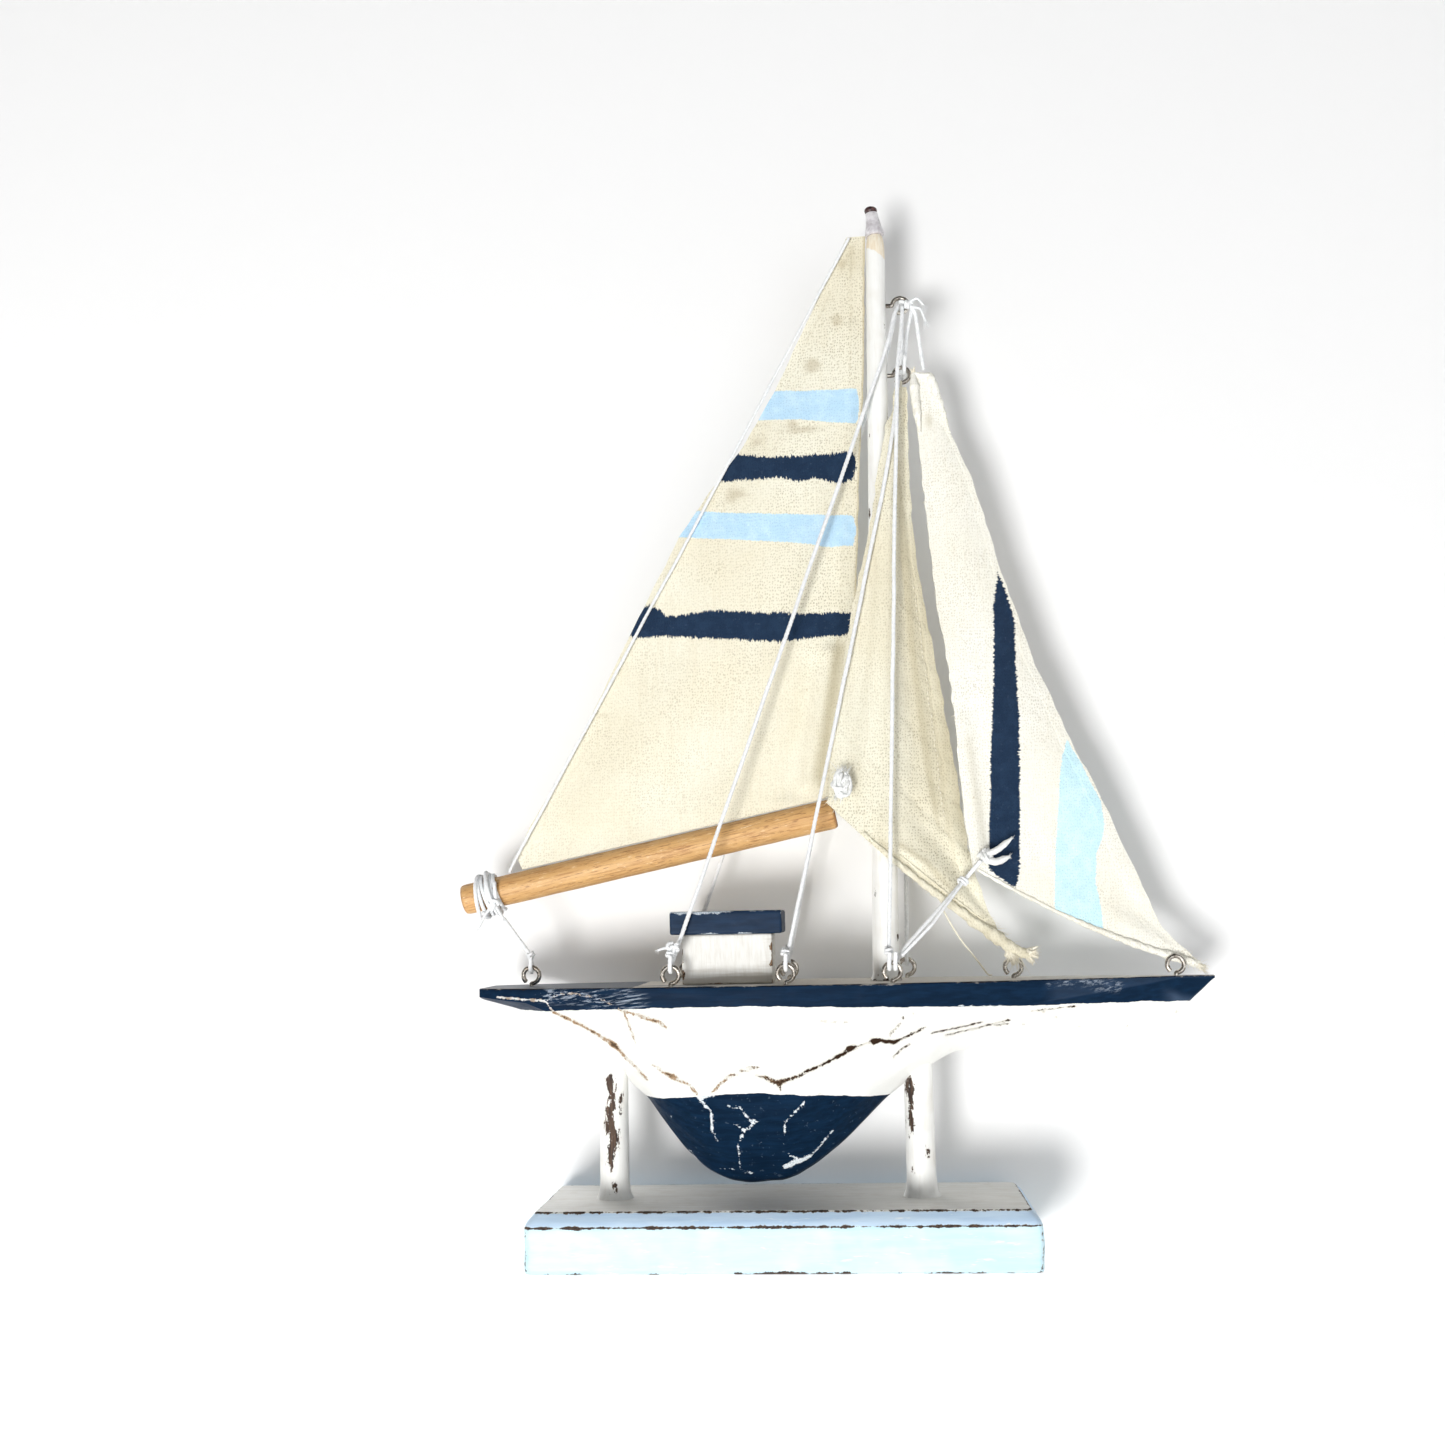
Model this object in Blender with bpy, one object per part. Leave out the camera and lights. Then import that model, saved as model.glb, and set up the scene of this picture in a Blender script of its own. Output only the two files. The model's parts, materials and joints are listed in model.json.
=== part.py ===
"""Wooden model sailboat on a display stand, unpowered.

A carved and painted hull on two dowels let into a chamfered base, a tapered
mast, a boom hung under the mainsail, two headsails, string rigging and small
eye screws.  +X is the bow, -Y the starboard side, +Z up.  The origin is the
centre of the underside of the base.  Dimensions below are millimetres.
"""
import math

import bmesh
import bpy
from mathutils import Vector

MM = 0.001

# ---------------------------------------------------------------- dimensions
GAP = 0.3                    # clearance left between touching pieces

BASE_L, BASE_W, BASE_H = 155.0, 55.0, 18.0
BASE_FRONT_H = 14.0          # height of the upright faces below the chamfer
BASE_CHAMFER = 3.2           # inward run of the chamfer
BASE_CORNER = 1.6            # cut on the upright corners

POST_R = 4.6
POST_AFT_X, POST_FORE_X = -53.3, 43.4
POST_SINK = 7.7              # how far a post goes into the base
POST_AFT_TOP, POST_FORE_TOP = 67.0, 63.0
FOOT_R = 5.7                 # glue and paint fillet round a post's foot

DECK_Z = 84.6                # deck, painted top of the hull block
BAND_Z = 77.3                # lower edge of the navy band
KEEL_Z = 50.0                # upper edge of the navy keel

# carved profile: x, lowest z on the centreline
PROFILE = [(-94.0, 80.8), (-83.0, 77.0), (-72.0, 71.9), (-57.0, 64.1),
           (-50.0, 57.0), (-47.2, 53.0), (-42.4, 48.7), (-38.7, 43.5),
           (-34.6, 37.9), (-29.3, 31.6), (-22.4, 25.7), (-15.8, 22.9),
           (-9.8, 22.2), (-2.5, 22.6), (4.1, 24.3), (8.9, 27.0),
           (16.2, 32.1), (22.4, 37.3), (26.9, 41.6), (30.4, 45.2),
           (34.3, 48.7), (47.1, 57.4), (56.1, 61.9), (69.3, 63.5),
           (81.8, 64.5), (100.6, 66.7), (116.3, 69.5), (124.8, 72.9),
           (128.8, 76.6), (136.4, 83.7)]
# knuckle between the upright side and the carved underside: x, z
KNUCKLE = [(-94.0, 82.0), (-78.0, 80.2), (-70.0, 77.0), (-62.0, 73.0),
           (-52.0, 67.4), (-44.5, 60.0), (-38.0, 56.8), (-26.0, 53.6),
           (-14.0, 56.6), (-2.0, 55.6), (10.0, 59.0), (21.0, 64.0),
           (31.0, 67.2), (49.0, 71.4), (65.0, 74.5), (82.0, 78.2),
           (100.0, 81.2), (113.0, 83.0), (125.0, 83.8), (136.4, 84.2)]
# plan: x, half breadth of the deck
PLAN = [(-94.0, 12.5), (-90.0, 14.6), (-80.0, 18.0), (-60.0, 22.0),
        (-40.0, 24.3), (-20.0, 25.3), (0.0, 25.5), (20.0, 25.0),
        (40.0, 23.4), (60.0, 20.4), (80.0, 16.2), (100.0, 11.0),
        (115.0, 6.7), (128.0, 3.0), (136.4, 1.5)]
# half width of the blunt bottom edge: x, w
BOTTOM = [(-94.0, 7.0), (-80.0, 5.0), (-60.0, 4.0), (-40.0, 3.2),
          (-10.0, 2.8), (30.0, 3.0), (60.0, 2.6), (100.0, 2.2),
          (125.0, 1.4), (136.4, 0.8)]
STATIONS = [-94.0, -90.0, -83.0, -77.0, -72.0, -67.0, -62.0, -57.0, -52.0,
            -47.2, -42.4, -38.7, -34.6, -29.3, -22.4, -15.8, -9.8, -2.5, 4.1,
            8.9, 16.2, 22.4, 26.9, 30.4, 34.3, 40.5, 47.1, 56.1, 69.3, 81.8,
            91.0, 100.6, 109.0, 116.3, 124.8, 128.8, 132.6, 136.4]

CABIN_X0, CABIN_X1, CABIN_HALF_W = -29.7, -1.2, 11.0
CABIN_TOP = 100.2
ROOF_X0, ROOF_X1, ROOF_HALF_W = -33.1, 2.1, 14.6
ROOF_TOP = 107.5

MAST_FOOT_X, MAST_HEAD_X = 34.4, 38.4    # the mast leans a little forward
MAST_FOOT_R, MAST_HEAD_R = 4.3, 3.1
MAST_SINK_Z, MAST_TOP = 72.0, 332.0
CAP_TOP = 341.8

BOOM_R = 4.85
BOOM_AFT_X, BOOM_FORE_X = -101.9, 19.6
BOOM_Z0, BOOM_SLOPE = 134.0, 0.2085      # axis height at x = 0 and its rise

CLOTH_T = 0.8                # thickness given to the sails
STRING_R = 0.65
THREAD_R = 0.3

EYE_R = 2.6                  # centre line radius of an eye's ring
EYE_WIRE = 0.75
EYE_NECK = 0.9               # straight neck between deck and ring
MAST_EYE_NECK = 2.1          # the mast's two eyes stand off further
EYE_SINK = 5.0               # thread in the wood
EYE_PILOT = 1.15             # drilled hole

DECK_EYES = [                # name, x, y
    ("eye_stern", -79.8, 0.0),
    ("eye_aft_starboard", -32.4, -20.0),
    ("eye_aft_port", -30.8, 20.0),
    ("eye_mid_starboard", 3.2, -20.0),
    ("eye_mid_port", 2.8, 20.0),
    ("eye_fore_starboard", 35.8, -20.0),
    ("eye_fore_port", 41.6, 19.2),
    ("eye_staysail_tack", 74.4, 0.0),
    ("eye_bow", 124.6, -1.2),
]
MAST_EYES = [("eye_mast_upper", 307.0), ("eye_mast_lower", 283.0)]

# ---------------------------------------------------------------- colours
NAVY = (0.014, 0.036, 0.095, 1)
WHITE = (0.86, 0.86, 0.83, 1)
BLUE = (0.55, 0.74, 0.88, 1)
CREAM = (0.85, 0.78, 0.60, 1)
OFFWHITE = (0.90, 0.88, 0.80, 1)
TAN = (0.62, 0.36, 0.15, 1)
STRING = (0.86, 0.87, 0.88, 1)
NICKEL = (0.60, 0.57, 0.52, 1)
PEG = (0.70, 0.68, 0.68, 1)
CAP = (0.05, 0.02, 0.025, 1)

# ---------------------------------------------------------------- start clean
for ob in list(bpy.data.objects):
    bpy.data.objects.remove(ob, do_unlink=True)


def material(name, colour, rough=0.6, metal=0.0):
    m = bpy.data.materials.new("m_" + name)
    m.use_nodes = True
    p = m.node_tree.nodes.get("Principled BSDF")
    p.inputs["Base Color"].default_value = colour
    p.inputs["Roughness"].default_value = rough
    p.inputs["Metallic"].default_value = metal
    m.diffuse_color = colour
    return m


def link(name, data, colour, rough=0.6, metal=0.0):
    ob = bpy.data.objects.new(name, data)
    bpy.context.scene.collection.objects.link(ob)
    data.materials.append(material(name, colour, rough, metal))
    return ob


def mesh_from(name, verts, faces):
    me = bpy.data.meshes.new(name)
    me.from_pydata([tuple(c * MM for c in v) for v in verts], [], faces)
    bm = bmesh.new()
    bm.from_mesh(me)
    bmesh.ops.recalc_face_normals(bm, faces=bm.faces)
    bm.to_mesh(me)
    bm.free()
    me.update()
    return me


def interp(table, x):
    if x <= table[0][0]:
        return table[0][1]
    for (x0, v0), (x1, v1) in zip(table, table[1:]):
        if x <= x1:
            return v0 + (v1 - v0) * (x - x0) / (x1 - x0)
    return table[-1][1]


def rings_to_mesh(name, rings):
    """Closed loft through rings that all have the same number of points."""
    n = len(rings[0])
    verts = [p for r in rings for p in r]
    faces = []
    for i in range(len(rings) - 1):
        for j in range(n):
            k = (j + 1) % n
            faces.append((i * n + j, i * n + k, (i + 1) * n + k, (i + 1) * n + j))
    faces.append(tuple(range(n)))
    faces.append(tuple((len(rings) - 1) * n + j for j in reversed(range(n))))
    return mesh_from(name, verts, faces)


def lathe(name, profile, centre, segments=24):
    """Solid of revolution about a (possibly leaning) upright line.
    profile is a list of (r, z); centre(z) gives the line's x and y."""
    rings = []
    for r, z in profile:
        cx, cy = centre(z)
        rings.append([(cx + r * math.cos(2 * math.pi * k / segments),
                       cy + r * math.sin(2 * math.pi * k / segments), z)
                      for k in range(segments)])
    return rings_to_mesh(name, rings)


def smooth(ob, degrees=35):
    for p in ob.data.polygons:
        p.use_smooth = True
    ob.data.set_sharp_from_angle(angle=math.radians(degrees))


def cutter(name, mesh):
    ob = bpy.data.objects.new(name, mesh)
    bpy.context.scene.collection.objects.link(ob)
    ob.hide_render = True
    ob.display_type = "WIRE"
    return ob


def cut(ob, tools):
    """Boolean difference, applied at once, and the tools removed."""
    for t in tools:
        m = ob.modifiers.new("cut", "BOOLEAN")
        m.operation = "DIFFERENCE"
        m.solver = "EXACT"
        m.object = t
    bpy.context.view_layer.update()
    dg = bpy.context.evaluated_depsgraph_get()
    me = bpy.data.meshes.new_from_object(ob.evaluated_get(dg))
    ob.modifiers.clear()
    old = ob.data
    ob.data = me
    bpy.data.meshes.remove(old)
    for t in tools:
        bpy.data.objects.remove(t, do_unlink=True)


def drill_z(name, x, y, r, z0, z1, segments=16):
    return cutter(name, lathe(name, [(r, z0), (r, z1)], lambda z: (x, y), segments))


def drill_x(name, z, r, x0, x1, segments=12):
    rings = [[(x, r * math.cos(2 * math.pi * k / segments),
               z + r * math.sin(2 * math.pi * k / segments))
              for k in range(segments)] for x in (x0, x1)]
    return cutter(name, rings_to_mesh(name, rings))


def string(name, points, radius, colour=STRING, rough=0.9, resolution=2, metal=0.0):
    cu = bpy.data.curves.new(name, "CURVE")
    cu.dimensions = "3D"
    sp = cu.splines.new("POLY")
    sp.points.add(len(points) - 1)
    for p, q in zip(sp.points, points):
        p.co = (q[0] * MM, q[1] * MM, q[2] * MM, 1)
        p.radius = 1.0
    cu.bevel_depth = radius * MM
    cu.bevel_resolution = resolution
    cu.use_fill_caps = True
    cu.resolution_u = 1
    cu.render_resolution_u = 0
    return link(name, cu, colour, rough, metal)


# ---------------------------------------------------------------- the stand
def base_ring(l, w, c, z):
    x, y = l / 2, w / 2
    return [(x - c, -y, z), (x, -y + c, z), (x, y - c, z), (x - c, y, z),
            (-x + c, y, z), (-x, y - c, z), (-x, -y + c, z), (-x + c, -y, z)]


me = rings_to_mesh("stand_base", [
    base_ring(BASE_L - 1.6, BASE_W - 1.6, BASE_CORNER, 0.0),
    base_ring(BASE_L, BASE_W, BASE_CORNER, 0.9),
    base_ring(BASE_L, BASE_W, BASE_CORNER, BASE_FRONT_H),
    base_ring(BASE_L - 1.4, BASE_W - 1.4, BASE_CORNER, BASE_FRONT_H + 1.6),
    base_ring(BASE_L - 2 * BASE_CHAMFER, BASE_W - 2 * BASE_CHAMFER,
              BASE_CORNER, BASE_H)])
base = link("stand_base", me, BLUE, 0.55)
cut(base, [drill_z("c_post%d" % i, x, 0.0, POST_R + GAP,
                   BASE_H - POST_SINK - GAP, BASE_H + 2.0, 24)
           for i, x in enumerate((POST_AFT_X, POST_FORE_X))])


def post(name, x, top):
    prof = [(POST_R - 0.4, BASE_H - POST_SINK), (POST_R, BASE_H - POST_SINK + 0.5),
            (POST_R, BASE_H + GAP), (FOOT_R, BASE_H + GAP),
            (FOOT_R - 0.4, BASE_H + 1.4), (POST_R + 0.25, BASE_H + 4.0),
            (POST_R, BASE_H + 6.5), (POST_R, top - 0.6), (POST_R - 0.5, top)]
    ob = link(name, lathe(name, prof, lambda z: (x, 0.0), 24), WHITE, 0.5)
    smooth(ob, 40)
    return ob


post("stand_post_aft", POST_AFT_X, POST_AFT_TOP)
post("stand_post_fore", POST_FORE_X, POST_FORE_TOP)


# ---------------------------------------------------------------- the hull
def hull_ring(x):
    b = interp(PLAN, x)
    zb = interp(PROFILE, x)
    zc = max(interp(KNUCKLE, x), zb + 0.25)
    zc = min(zc, DECK_Z - 0.3)
    yc = b * (1.0 - 0.10 * (DECK_Z - zc) / 27.0)
    wb = min(interp(BOTTOM, x), 0.75 * yc)
    h = zc - zb
    rb = min(1.1, 0.2 * h)
    half = [(b, DECK_Z), (yc, zc)]
    for t, swell in ((0.36, 0.10), (0.70, 0.09)):
        half.append((yc + (wb - yc) * t + swell * (yc - wb) * min(1.0, h / 25.0),
                     zc - (h - rb) * t))
    half.append((wb, zb + rb))
    ring = [(x, -y, z) for y, z in half] + [(x, 0.0, zb)] \
        + [(x, y, z) for y, z in reversed(half)]
    return ring


hull_mesh = rings_to_mesh("hull", [hull_ring(x) for x in STATIONS])
hull = link("hull_block", hull_mesh, WHITE)
tools = [drill_z("c_mast", MAST_FOOT_X - 0.1, 0.0, MAST_FOOT_R + 0.35,
                 MAST_SINK_Z - GAP, DECK_Z + 3.0, 24),
         drill_z("c_aft", POST_AFT_X, 0.0, POST_R + GAP, 40.0,
                 POST_AFT_TOP + GAP, 24),
         drill_z("c_fore", POST_FORE_X, 0.0, POST_R + GAP, 40.0,
                 POST_FORE_TOP + GAP, 24)]
tools += [drill_z("c_" + n, x, y, EYE_PILOT, DECK_Z - EYE_SINK - GAP,
                  DECK_Z + 2.0, 12) for n, x, y in DECK_EYES]
cut(hull, tools)


def layer(name, low, high, colour, rough):
    """The slab of the hull block between two levels."""
    me = hull.data.copy()
    me.name = name
    me.materials.clear()
    bm = bmesh.new()
    bm.from_mesh(me)
    for level, up in ((low, -1), (high, 1)):
        if level is None:
            continue
        geom = bm.verts[:] + bm.edges[:] + bm.faces[:]
        res = bmesh.ops.bisect_plane(bm, geom=geom, plane_co=(0, 0, level * MM),
                                     plane_no=(0, 0, up), clear_outer=True,
                                     dist=1e-7)
        edges = [e for e in res["geom_cut"] if isinstance(e, bmesh.types.BMEdge)]
        edges = [e for e in edges if e.is_boundary]
        loops = bmesh.ops.holes_fill(bm, edges=edges, sides=0)
        # a hole that runs through the cut leaves a ring inside the cap
        bmesh.ops.triangulate(bm, faces=[f for f in loops["faces"]
                                         if len(f.verts) > 4])
    bmesh.ops.remove_doubles(bm, verts=bm.verts, dist=2e-6)
    bmesh.ops.recalc_face_normals(bm, faces=bm.faces)
    bm.to_mesh(me)
    bm.free()
    ob = link(name, me, colour, rough)
    return ob


SEAM = GAP / 2
# the mast's hole runs through the band's lower cut, so each layer is made by
# cutting the undrilled block first and drilling the layer afterwards
plain = rings_to_mesh("hull_plain", [hull_ring(x) for x in STATIONS])
bpy.data.objects.remove(hull, do_unlink=True)
hull = bpy.data.objects.new("hull_block", plain)
bpy.context.scene.collection.objects.link(hull)

band = layer("hull_band", BAND_Z + SEAM, None, NAVY, 0.5)
body = layer("hull_body", KEEL_Z + SEAM, BAND_Z - SEAM, WHITE, 0.5)
keel = layer("hull_keel", None, KEEL_Z - SEAM, NAVY, 0.5)
bpy.data.objects.remove(hull, do_unlink=True)

cut(band, [drill_z("c_mast_a", MAST_FOOT_X - 0.1, 0.0, MAST_FOOT_R + 0.35,
                   BAND_Z - 3.0, DECK_Z + 3.0, 24)]
    + [drill_z("c_" + n, x, y, EYE_PILOT, DECK_Z - EYE_SINK - GAP,
               DECK_Z + 2.0, 12) for n, x, y in DECK_EYES])
cut(body, [drill_z("c_mast_b", MAST_FOOT_X - 0.1, 0.0, MAST_FOOT_R + 0.35,
                   MAST_SINK_Z - GAP, BAND_Z + 3.0, 24),
           drill_z("c_aft", POST_AFT_X, 0.0, POST_R + GAP, 40.0,
                   POST_AFT_TOP + GAP, 24),
           drill_z("c_fore", POST_FORE_X, 0.0, POST_R + GAP, 40.0,
                   POST_FORE_TOP + GAP, 24)])


# ---------------------------------------------------------------- the cabin
def block(name, x0, x1, half_w, z0, z1, edge, colour):
    def ring(inset, z):
        a, b, w = x0 + inset, x1 - inset, half_w - inset
        c = edge
        return [(b - c, -w, z), (b, -w + c, z), (b, w - c, z), (b - c, w, z),
                (a + c, w, z), (a, w - c, z), (a, -w + c, z), (a + c, -w, z)]
    me = rings_to_mesh(name, [ring(edge * 0.7, z0), ring(0, z0 + edge * 0.7),
                              ring(0, z1 - edge), ring(edge, z1)])
    return link(name, me, colour, 0.5)


block("cabin_block", CABIN_X0, CABIN_X1, CABIN_HALF_W, DECK_Z + GAP, CABIN_TOP,
      0.5, WHITE)
block("cabin_roof", ROOF_X0, ROOF_X1, ROOF_HALF_W, CABIN_TOP + GAP, ROOF_TOP,
      0.6, NAVY)


# ---------------------------------------------------------------- the mast
def mast_x(z):
    return MAST_FOOT_X + (MAST_HEAD_X - MAST_FOOT_X) * (z - DECK_Z) / (MAST_TOP - DECK_Z)


def mast_r(z):
    return MAST_FOOT_R + (MAST_HEAD_R - MAST_FOOT_R) * (z - DECK_Z) / (MAST_TOP - DECK_Z)


levels = [DECK_Z, 110.0, 150.0, 200.0, 250.0, 283.0, 307.0, 326.0]
prof = [(MAST_FOOT_R - 0.5, MAST_SINK_Z), (MAST_FOOT_R, MAST_SINK_Z + 0.6)]
prof += [(mast_r(z), z) for z in levels]
prof += [(2.9, 329.0), (2.5, 331.0), (1.7, MAST_TOP)]
mast = link("mast", lathe("mast", prof, lambda z: (mast_x(z), 0.0), 24), WHITE, 0.5)
cut(mast, [drill_x("c_" + n, z, EYE_PILOT, mast_x(z) + mast_r(z) - EYE_SINK - GAP + 1.0,
                   mast_x(z) + 8.0) for n, z in MAST_EYES])
smooth(mast, 40)

ob = link("masthead_peg", lathe("masthead_peg", [
    (2.9, MAST_TOP + GAP), (2.8, 333.4), (2.3, 336.0), (2.0, 339.4)],
    lambda z: (38.2 - 0.12 * (z - 332.0), 0.0), 16), PEG, 0.4)
smooth(ob, 40)
ob = link("masthead_cap", lathe("masthead_cap", [
    (1.7, 339.4 + GAP), (2.1, 340.2), (2.0, 341.1), (1.2, CAP_TOP)],
    lambda z: (37.2, 0.0), 16), CAP, 0.4)
smooth(ob, 50)


# ---------------------------------------------------------------- eye screws
def eye_deck(name, x, y):
    """Wire bent to a ring above the deck, its shank in the wood."""
    zc = DECK_Z + EYE_NECK + EYE_R
    pts = [(x, y, DECK_Z - EYE_SINK), (x, y, DECK_Z + 0.2), (x, y, zc - EYE_R)]
    n = 14
    # the ring leaves the neck, turns once and stops just short of it
    stop = 2 * math.pi - (2 * EYE_WIRE + 0.35) / EYE_R
    for k in range(1, n + 1):
        a = stop * k / n
        pts.append((x + EYE_R * math.sin(a), y, zc - EYE_R * math.cos(a)))
    return string(name, pts, EYE_WIRE, NICKEL, 0.25, 2, 1.0)


def eye_mast(name, z):
    x0 = mast_x(z) + mast_r(z)
    xc = x0 + MAST_EYE_NECK + EYE_R
    pts = [(x0 - EYE_SINK + 1.0, 0.0, z), (x0 + 0.2, 0.0, z), (xc - EYE_R, 0.0, z)]
    n = 14
    stop = 2 * math.pi - (2 * EYE_WIRE + 0.35) / EYE_R
    for k in range(1, n + 1):
        a = stop * k / n
        pts.append((xc - EYE_R * math.cos(a), 0.0, z + EYE_R * math.sin(a)))
    string(name, pts, EYE_WIRE, NICKEL, 0.25, 2, 1.0)
    return xc


for n, x, y in DECK_EYES:
    eye_deck(n, x, y)
EYE_X = {n: eye_mast(n, z) for n, z in MAST_EYES}
EYE_Z = DECK_Z + EYE_NECK + EYE_R          # centre height of the deck rings


# ---------------------------------------------------------------- the boom
def boom_z(x):
    return BOOM_Z0 + BOOM_SLOPE * x


def boom_frame():
    a = Vector((1.0, 0.0, BOOM_SLOPE)).normalized()
    up = Vector((-a.z, 0.0, a.x))
    side = Vector((0.0, 1.0, 0.0))
    return a, up, side


AX, UP, SIDE = boom_frame()


def boom_ring(x, r, segments=20):
    c = Vector((x, 0.0, boom_z(x)))
    return [tuple(c + SIDE * (r * math.cos(2 * math.pi * k / segments))
                  + UP * (r * math.sin(2 * math.pi * k / segments)))
            for k in range(segments)]


boom = link("boom", rings_to_mesh("boom", [
    boom_ring(BOOM_AFT_X, BOOM_R - 0.7), boom_ring(BOOM_AFT_X + 0.6, BOOM_R),
    boom_ring(-40.0, BOOM_R), boom_ring(BOOM_FORE_X - 0.8, BOOM_R),
    boom_ring(BOOM_FORE_X, BOOM_R - 0.9)]), TAN, 0.55)
smooth(boom, 40)

LASH_R = BOOM_R + GAP + STRING_R
pts = []
turns, per = 3.5, 12
x0, x1 = -96.3, -89.4
for k in range(int(turns * per) + 1):
    t = k / (turns * per)
    c = Vector((x0 + (x1 - x0) * t, 0.0, 0.0))
    c.z = boom_z(c.x)
    a = 2 * math.pi * turns * t + math.pi / 2
    p = c + SIDE * (LASH_R * math.cos(a)) + UP * (LASH_R * math.sin(a))
    pts.append(tuple(p))
string("boom_lashing", pts, STRING_R)


# ---------------------------------------------------------------- the sails
def along(poly, t):
    """Point a fraction t of the way along a polyline."""
    seg = [math.dist(a, b) for a, b in zip(poly, poly[1:])]
    d = t * sum(seg)
    for s, a, b in zip(seg, poly, poly[1:]):
        if d <= s or b is poly[-1]:
            f = min(1.0, d / s)
            return tuple(u + (v - u) * f for u, v in zip(a, b))
        d -= s


def sail(name, aft, fore, depth, colour, rows=14, cols=8, roach=0.0):
    """Thin closed solid between an aft edge and a fore edge, both given from
    foot to head as (x, y, z).  depth(u, v) is added to y, and the foot hangs
    below a straight line by roach."""
    grid = []
    for i in range(rows + 1):
        v = i / rows
        a, b = along(aft, v), along(fore, v)
        row = []
        for j in range(cols + 1):
            u = j / cols
            p = [s + (e - s) * u for s, e in zip(a, b)]
            p[1] += depth(u, v)
            p[2] -= roach * math.sin(math.pi * u) * (1 - v) ** 3
            row.append(Vector(p))
        grid.append(row)

    def normal(i, j):
        du = grid[i][min(j + 1, cols)] - grid[i][max(j - 1, 0)]
        dv = grid[min(i + 1, rows)][j] - grid[max(i - 1, 0)][j]
        return du.cross(dv).normalized()

    verts, w = [], cols + 1
    for s in (1, -1):
        for i in range(rows + 1):
            for j in range(cols + 1):
                verts.append(tuple(grid[i][j] + normal(i, j) * (s * CLOTH_T / 2)))
    off = (rows + 1) * w
    faces = []
    for i in range(rows):
        for j in range(cols):
            a, b, c, d = i * w + j, i * w + j + 1, (i + 1) * w + j + 1, (i + 1) * w + j
            faces.append((a, b, c, d))
            faces.append((off + d, off + c, off + b, off + a))
    rim = [(0, j) for j in range(cols)] + [(i, cols) for i in range(rows)] \
        + [(rows, j) for j in range(cols, 0, -1)] + [(i, 0) for i in range(rows, 0, -1)]
    for (i, j), (k, m) in zip(rim, rim[1:] + rim[:1]):
        a, b = i * w + j, k * w + m
        faces.append((b, a, off + a, off + b))
    ob = link(name, mesh_from(name, verts, faces), colour, 0.9)
    smooth(ob, 50)
    return ob


def hump(u, v):
    return math.sin(math.pi * u) * math.sin(math.pi * min(1.0, 0.12 + 0.88 * v))


FOOT_LIFT = BOOM_R / math.cos(math.atan(BOOM_SLOPE)) + GAP + 0.2
main_aft = [(-82.6, 0.0, boom_z(-82.6) + FOOT_LIFT), (-84.6, 0.0, 127.0),
            (-80.0, 0.0, 136.0), (-65.6, 0.0, 159.3), (-45.5, 0.0, 199.9),
            (-28.8, 0.0, 231.6), (-15.8, 0.0, 250.1), (-7.6, 0.0, 260.3),
            (3.5, 0.0, 279.1), (18.0, 0.0, 309.2), (26.9, 0.0, 327.0),
            (29.0, 0.0, 331.6)]
main_fore = [(13.9, 0.0, boom_z(13.9) + FOOT_LIFT), (19.4, 0.0, 144.6),
             (27.5, 0.0, 201.1), (29.9, 0.0, 247.9), (31.7, 0.0, 275.1),
             (33.2, 0.0, 309.5), (34.2, 0.0, 331.6)]
sail("mainsail", main_aft, main_fore,
     lambda u, v: -2.6 * hump(u, v), CREAM, 16, 9)

stay_aft = [(17.2, -13.6, 140.6), (18.0, -12.9, 148.6), (25.7, -8.3, 195.8),
            (27.3, -7.6, 205.2), (32.2, -6.0, 225.2), (35.2, -5.2, 240.0),
            (39.6, -4.6, 264.0), (45.0, -0.6, 278.6)]
stay_fore = [(73.0, 0.6, 94.4), (70.0, 0.4, 99.0), (66.4, 0.2, 108.5),
             (63.0, 0.2, 118.0), (60.2, 0.2, 134.0), (58.6, 0.2, 150.0),
             (54.4, 0.0, 178.0), (50.2, 0.0, 206.0), (47.2, -0.4, 228.0),
             (46.8, -0.6, 254.0), (47.2, -0.4, 278.6)]
sail("staysail", stay_aft, stay_fore,
     lambda u, v: -1.7 * hump(u, v), CREAM, 16, 7, 2.6)

jib_aft = [(62.7, -6.6, 119.4), (60.4, -6.2, 132.0), (59.6, -5.8, 150.0),
           (57.4, -5.0, 182.0), (54.2, -3.8, 206.0), (51.9, -2.8, 236.0),
           (50.3, -2.0, 262.0), (49.4, -1.0, 282.6)]
jib_fore = [(134.0, 1.7, 87.0), (128.2, 1.7, 92.6), (121.2, 1.6, 99.6),
            (113.6, 1.0, 118.0), (105.2, 0.6, 139.0), (96.0, 0.4, 158.4),
            (84.6, 0.2, 186.0), (75.2, 0.0, 217.0), (67.6, 0.0, 246.0),
            (59.2, -0.4, 266.0), (55.2, -0.8, 282.6)]
# the foot runs from the clew down to the tack in a shallow hollow
sail("outer_jib", jib_aft, jib_fore,
     lambda u, v: -1.6 * math.sin(math.pi * u) * math.sin(math.pi * v),
     OFFWHITE, 16, 9, 3.0)


# ---------------------------------------------------------------- the strings
NEAR = 0.2                                       # gap between string and ring
CLEAR = EYE_WIRE + NEAR + STRING_R + 0.1     # string centre to wire centre


def hook_top(x, y, z, side, clear=CLEAR):
    """The turn of a string round a ring's top wire, whose centre is at
    (x, y, z): down on one side, under the wire and up on the other, starting
    from the free end."""
    pts = []
    for deg in (0, 30, 60, 90, 120, 150, 180):
        a = math.radians(deg)
        pts.append((x, y + side * clear * math.cos(a), z - clear * math.sin(a)))
    tail = (x + 0.25, y + side * (clear + 0.35), z + 3.4)
    return [tail] + pts


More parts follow.
